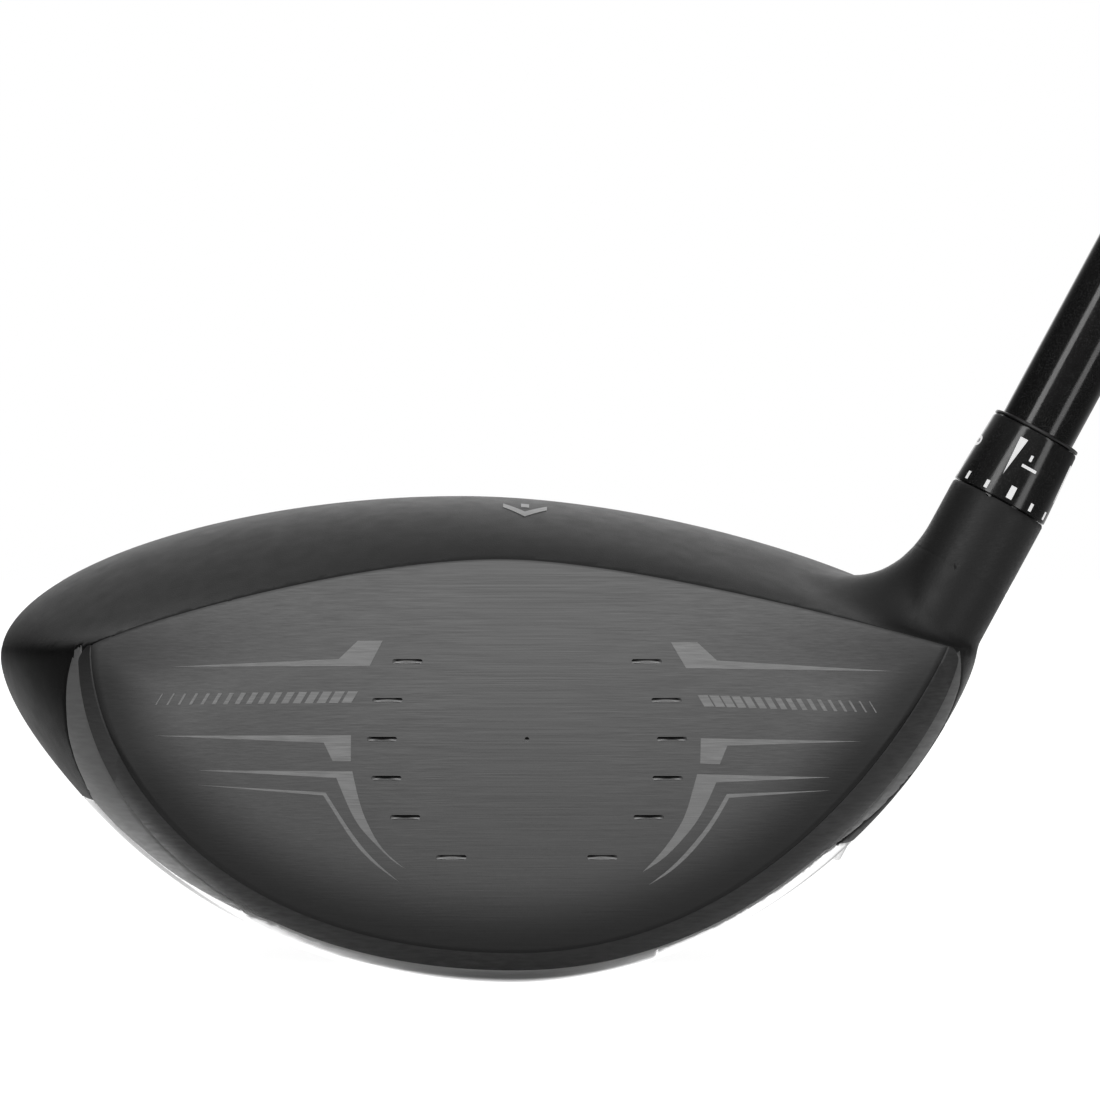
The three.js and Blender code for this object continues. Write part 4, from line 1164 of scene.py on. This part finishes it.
def grip():
    """Rubber grip with rows of shallow lozenges, plain bands near both ends."""
    low, high = BUTT - GRIP_LENGTH, BUTT - 3
    heights = np.concatenate([[low, low + 0.6, low + 1.2, low + 2], np.linspace(low + 2.8, high - 0.8, 380), [high]])
    along_grip = [low, low + 2, BUTT - 180, BUTT - 60, BUTT - 14, high]
    radii = [9.4, 10.2, 10.6, 11.6, 12.8, 12.7]
    phi = np.linspace(0, 2 * np.pi, 120, endpoint=False)
    rings = []
    for h in heights:
        base = np.interp(h, along_grip, radii)
        inside = smooth(h, low + 14, low + 17) * (1 - smooth(h, high - 16, high - 13))
        u, v = phi * 15 / np.pi, (h - low) / 4.2
        wave = np.abs(np.sin(np.pi * (u / 2 + v / 2))) * np.abs(np.sin(np.pi * (u / 2 - v / 2)))
        band = 0.3 * (np.abs((h - low) - 9) < 1.1)
        r = base - inside * 0.35 * (1 - smooth(wave, 0.1, 0.35)) - band
        rings.append(np.stack([r * np.cos(phi), r * np.sin(phi), np.full(len(phi), h)], 1))
    inner_high, inner_low = shaft_radius(high) + 0.6, shaft_radius(low) + 0.6
    for r, h in ((inner_high, high), (inner_low, low)):
        rings.append(np.stack([r * np.cos(phi), r * np.sin(phi), np.full(len(phi), h)], 1))
    points, faces = lofted(np.array(rings), closed=True)
    return on_shaft(points), faces


def grip_cap():
    profile = eased([(1.5, BUTT - 2.7), (12.7, BUTT - 2.7), (12.2, BUTT - 0.8), (10.8, BUTT), (7.2, BUTT)], 0.4)
    groove = [(7.0, BUTT - 0.35), (6.4, BUTT - 0.35), (6.2, BUTT), (1.7, BUTT), (1.5, BUTT - 0.2)]
    return turned(profile + groove, 96, on_shaft)


def rear_weight():
    low, high = -5.1, -0.1
    profile = eased([(2.3, low), (9, low), (9, high), (4.3, high), (4.3, low + 1.6), (2.3, low + 1.6)], 0.45)
    ringed = []
    for r, h in profile:
        ringed.append((r, h))
    return turned(ringed, 128, at_weight)


def rear_screw():
    lobes = lambda phi: socket(phi, 1.75)
    return turned(screw_profile(2.0, -11.6, -3.4, 4, -0.8, -2.6, lobes), 96, at_weight)


# ---------------------------------------------------------------- stage


def light_world():
    """White to the camera; a soft studio for everything the head reflects."""
    world = bpy.data.worlds.new("studio")
    bpy.context.scene.world = world
    world.use_nodes = True
    nodes, links = world.node_tree.nodes, world.node_tree.links
    nodes.clear()
    direction = nodes.new("ShaderNodeTexCoord").outputs["Generated"]
    split = nodes.new("ShaderNodeSeparateXYZ")
    links.new(direction, split.inputs[0])

    def ranged(socket, low, high, to_low, to_high):
        node = nodes.new("ShaderNodeMapRange")
        node.interpolation_type = "SMOOTHSTEP"
        for key, value in (("From Min", low), ("From Max", high), ("To Min", to_low), ("To Max", to_high)):
            node.inputs[key].default_value = value
        links.new(socket, node.inputs["Value"])
        return node.outputs["Result"]

    def combined(kind, a, b):
        node = nodes.new("ShaderNodeMath")
        node.operation = kind
        for socket, value in zip(node.inputs, (a, b)):
            if isinstance(value, (int, float)):
                socket.default_value = value
            else:
                links.new(value, socket)
        return node.outputs[0]

    across = combined("ABSOLUTE", split.outputs["X"], 0)
    up = ranged(split.outputs["Z"], -0.05, 0.55, 0.12, 1.0)
    overhead = ranged(split.outputs["Z"], 0.55, 0.95, 1.0, 0.35)
    sides = ranged(across, 0.3, 0.8, 1.0, 0.02)
    room = combined("MULTIPLY", combined("MULTIPLY", up, overhead), sides)
    back = combined("MULTIPLY", ranged(split.outputs["Y"], 0.3, 0.95, 0.0, 1.0), ranged(across, 0.12, 0.45, 1.0, 0.0))
    above = ranged(split.outputs["Z"], 0.02, 0.2, 0.0, 1.0)
    below_top = ranged(split.outputs["Z"], 0.2, 0.5, 1.0, 0.0)
    glow = combined("MULTIPLY", combined("MULTIPLY", back, above), combined("MULTIPLY", below_top, 2.0))
    strength = combined("ADD", room, glow)
    seen = nodes.new("ShaderNodeBackground")
    seen.inputs["Color"].default_value = (1, 1, 1, 1)
    lighting = nodes.new("ShaderNodeBackground")
    links.new(strength, lighting.inputs["Strength"])
    mix = nodes.new("ShaderNodeMixShader")
    links.new(nodes.new("ShaderNodeLightPath").outputs["Is Camera Ray"], mix.inputs[0])
    links.new(lighting.outputs[0], mix.inputs[1])
    links.new(seen.outputs[0], mix.inputs[2])
    links.new(mix.outputs[0], nodes.new("ShaderNodeOutputWorld").inputs[0])


def floor():
    """A large pale floor, bright enough to meet the white backdrop, that still takes a soft shadow."""
    size = 8.0
    mesh = bpy.data.meshes.new("floor")
    corners = [(-size, -size), (size, -size), (size, size), (-size, size)]
    mesh.from_pydata([(x, y, -0.00005) for x, y in corners], [], [(0, 1, 2, 3)])
    ground = bpy.data.objects.new("floor", mesh)
    bpy.context.scene.collection.objects.link(ground)
    material = bpy.data.materials.new("pale_floor")
    material.use_nodes = True
    shader = material.node_tree.nodes["Principled BSDF"]
    shader.inputs["Base Color"].default_value = (0.8, 0.8, 0.8, 1)
    shader.inputs["Roughness"].default_value = 0.9
    shader.inputs["Specular IOR Level"].default_value = 0.0
    shader.inputs["Emission Color"].default_value = (1, 1, 1, 1)
    nodes, links = material.node_tree.nodes, material.node_tree.links
    path = nodes.new("ShaderNodeLightPath").outputs
    split = nodes.new("ShaderNodeSeparateXYZ")
    links.new(nodes.new("ShaderNodeNewGeometry").outputs["Position"], split.inputs[0])

    def ranged(socket, low, high, to_low, to_high):
        node = nodes.new("ShaderNodeMapRange")
        node.interpolation_type = "SMOOTHSTEP"
        for key, value in (("From Min", low), ("From Max", high), ("To Min", to_low), ("To Max", to_high)):
            node.inputs[key].default_value = value
        links.new(socket, node.inputs["Value"])
        return node.outputs["Result"]

    def combined(kind, a, b):
        node = nodes.new("ShaderNodeMath")
        node.operation = kind
        for socket, value in zip(node.inputs, (a, b)):
            if isinstance(value, (int, float)):
                socket.default_value = value
            else:
                links.new(value, socket)
        return node.outputs[0]

    behind = ranged(split.outputs["Y"], -0.05, 0.35, 0.0, 1.2)
    narrow = ranged(combined("ABSOLUTE", split.outputs["X"], 0), 0.1, 0.4, 1.0, 0.0)
    close = combined("MULTIPLY", ranged(path["Ray Length"], 0.03, 0.07, 1.3, 0.0),
                     ranged(split.outputs["Y"], -0.019, -0.009, 0.0, 1.0))
    mirrored = combined("MULTIPLY", path["Is Glossy Ray"],
                        combined("ADD", combined("MULTIPLY", behind, narrow), close))
    glow = combined("ADD", combined("MULTIPLY", path["Is Camera Ray"], 0.93), mirrored)
    links.new(glow, shader.inputs["Emission Strength"])
    mesh.materials.append(material)


def strip_lamp(name, angle, low, high, power, receivers):
    """A long lamp beside the shaft, seen only by the receivers: a bright stripe at this angle round them."""
    width, away = 0.04, 150.0
    data = bpy.data.lights.new(name, "AREA")
    data.shape, data.size, data.size_y, data.energy = "RECTANGLE", width, (high - low) * MM, power
    lamp = bpy.data.objects.new(name, data)
    bpy.context.scene.collection.objects.link(lamp)
    turn = math.radians(2 * angle)
    middle = np.array([away * math.sin(turn), -away * math.cos(turn), (low + high) / 2])
    ends = on_hosel(np.array([middle, [0, 0, middle[2]]])) - [0, SET_BACK, 0]
    facing = Vector(ends[0] - ends[1]).normalized()
    up = Vector(HOSEL_Z)
    frame_of = Matrix((up.cross(facing), up, facing)).transposed().to_4x4()
    frame_of.translation = Vector(ends[0]) * MM
    lamp.matrix_world = frame_of
    lamp.visible_camera = False
    group = bpy.data.collections.new(name + "_on")
    for o in receivers:
        group.objects.link(o)
    lamp.light_linking.receiver_collection = group


CAMERA_AT = (0.00303, -0.623, 0.058)
FOCAL_PIXELS, IMAGE_SIDE, SENSOR = 4560.0, 1100.0, 36.0


def camera():
    data = bpy.data.cameras.new("view")
    data.sensor_width = SENSOR
    data.lens = FOCAL_PIXELS / IMAGE_SIDE * SENSOR
    data.clip_start = 0.01
    view = bpy.data.objects.new("view", data)
    view.location = CAMERA_AT
    view.rotation_euler = (math.pi / 2, 0, 0)
    bpy.context.scene.collection.objects.link(view)
    bpy.context.scene.camera = view


# ---------------------------------------------------------------- assembly

scored_face()
piece("face_rim", "head", "rim", face_rim(), sharp=30)
face_graphics()
head_panels()
crown_mark()
piece("hosel_tube_and_screw_port", "head", "steel", screw_port(), sharp=35)
piece("rear_weight_pocket", "head", "skirt", weight_pocket(), sharp=35)
collar = piece("adapter_sleeve_body", "shaft_assembly", "gloss", sleeve(), ["adapter_sleeve"], 35)
piece("sleeve_marks", "shaft_assembly", "mark", sleeve_marks(), sharp=30)
trim = eased([(5.7, 10.6), (6.25, 10.6), (6.2, 11.0), (5.7, 11.1)], 0.12)
piece("collar_trim_ring", "shaft_assembly", "trim", turned(trim, 128, on_hosel), ["sleeve_trim_ring"], 35)
tube = piece("shaft_tube", "shaft_assembly", "shaft", shaft(), ["shaft"], 35)
piece("grip_body", "shaft_assembly", "grip", grip(), ["grip"], 50)
piece("grip_end_cap", "shaft_assembly", "grip", grip_cap(), ["grip_cap"], 35)
piece("hosel_screw_body", "hosel_screw", "steel", hosel_screw(), ["hosel_screw"], 30)
piece("rear_weight_disc", "rear_weight", "steel", rear_weight(), ["rear_weight"], 30)
piece("rear_weight_screw_body", "rear_weight_screw", "steel", rear_screw(), ["rear_weight_screw"], 30)

KEPT_NODES = {
    "rear_weight_gasket": "gasket", "rear_thread_bush": "steel", "sleeve_thread_insert": "steel",
    "hosel_spline_ring": "brass", "sleeve_end_washer": "brass", "screw_retaining_clip": "steel",
    "screw_seat_washer": "steel", "shaft_tip_plug": "plug", "grip_tape": "tape",
}
for node, look in KEPT_NODES.items():
    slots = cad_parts[node].data.materials
    slots.clear()
    slots.append(LOOKS[look])

light_world()
strip_lamp("left_strip", -19.5, -10, 1000, 2.4, [collar, tube])
strip_lamp("right_strip", 19.5, -10, 1000, 1.5, [collar, tube])
hosel_parts = [bpy.data.objects["hosel_band"], bpy.data.objects["crown_and_hosel_shell"]]
strip_lamp("left_hosel_strip", -17, -50, 10, 0.03, hosel_parts)
strip_lamp("right_hosel_strip", 20, -30, 10, 0.015, hosel_parts)
floor()
camera()
bpy.context.scene.view_settings.view_transform = "Standard"
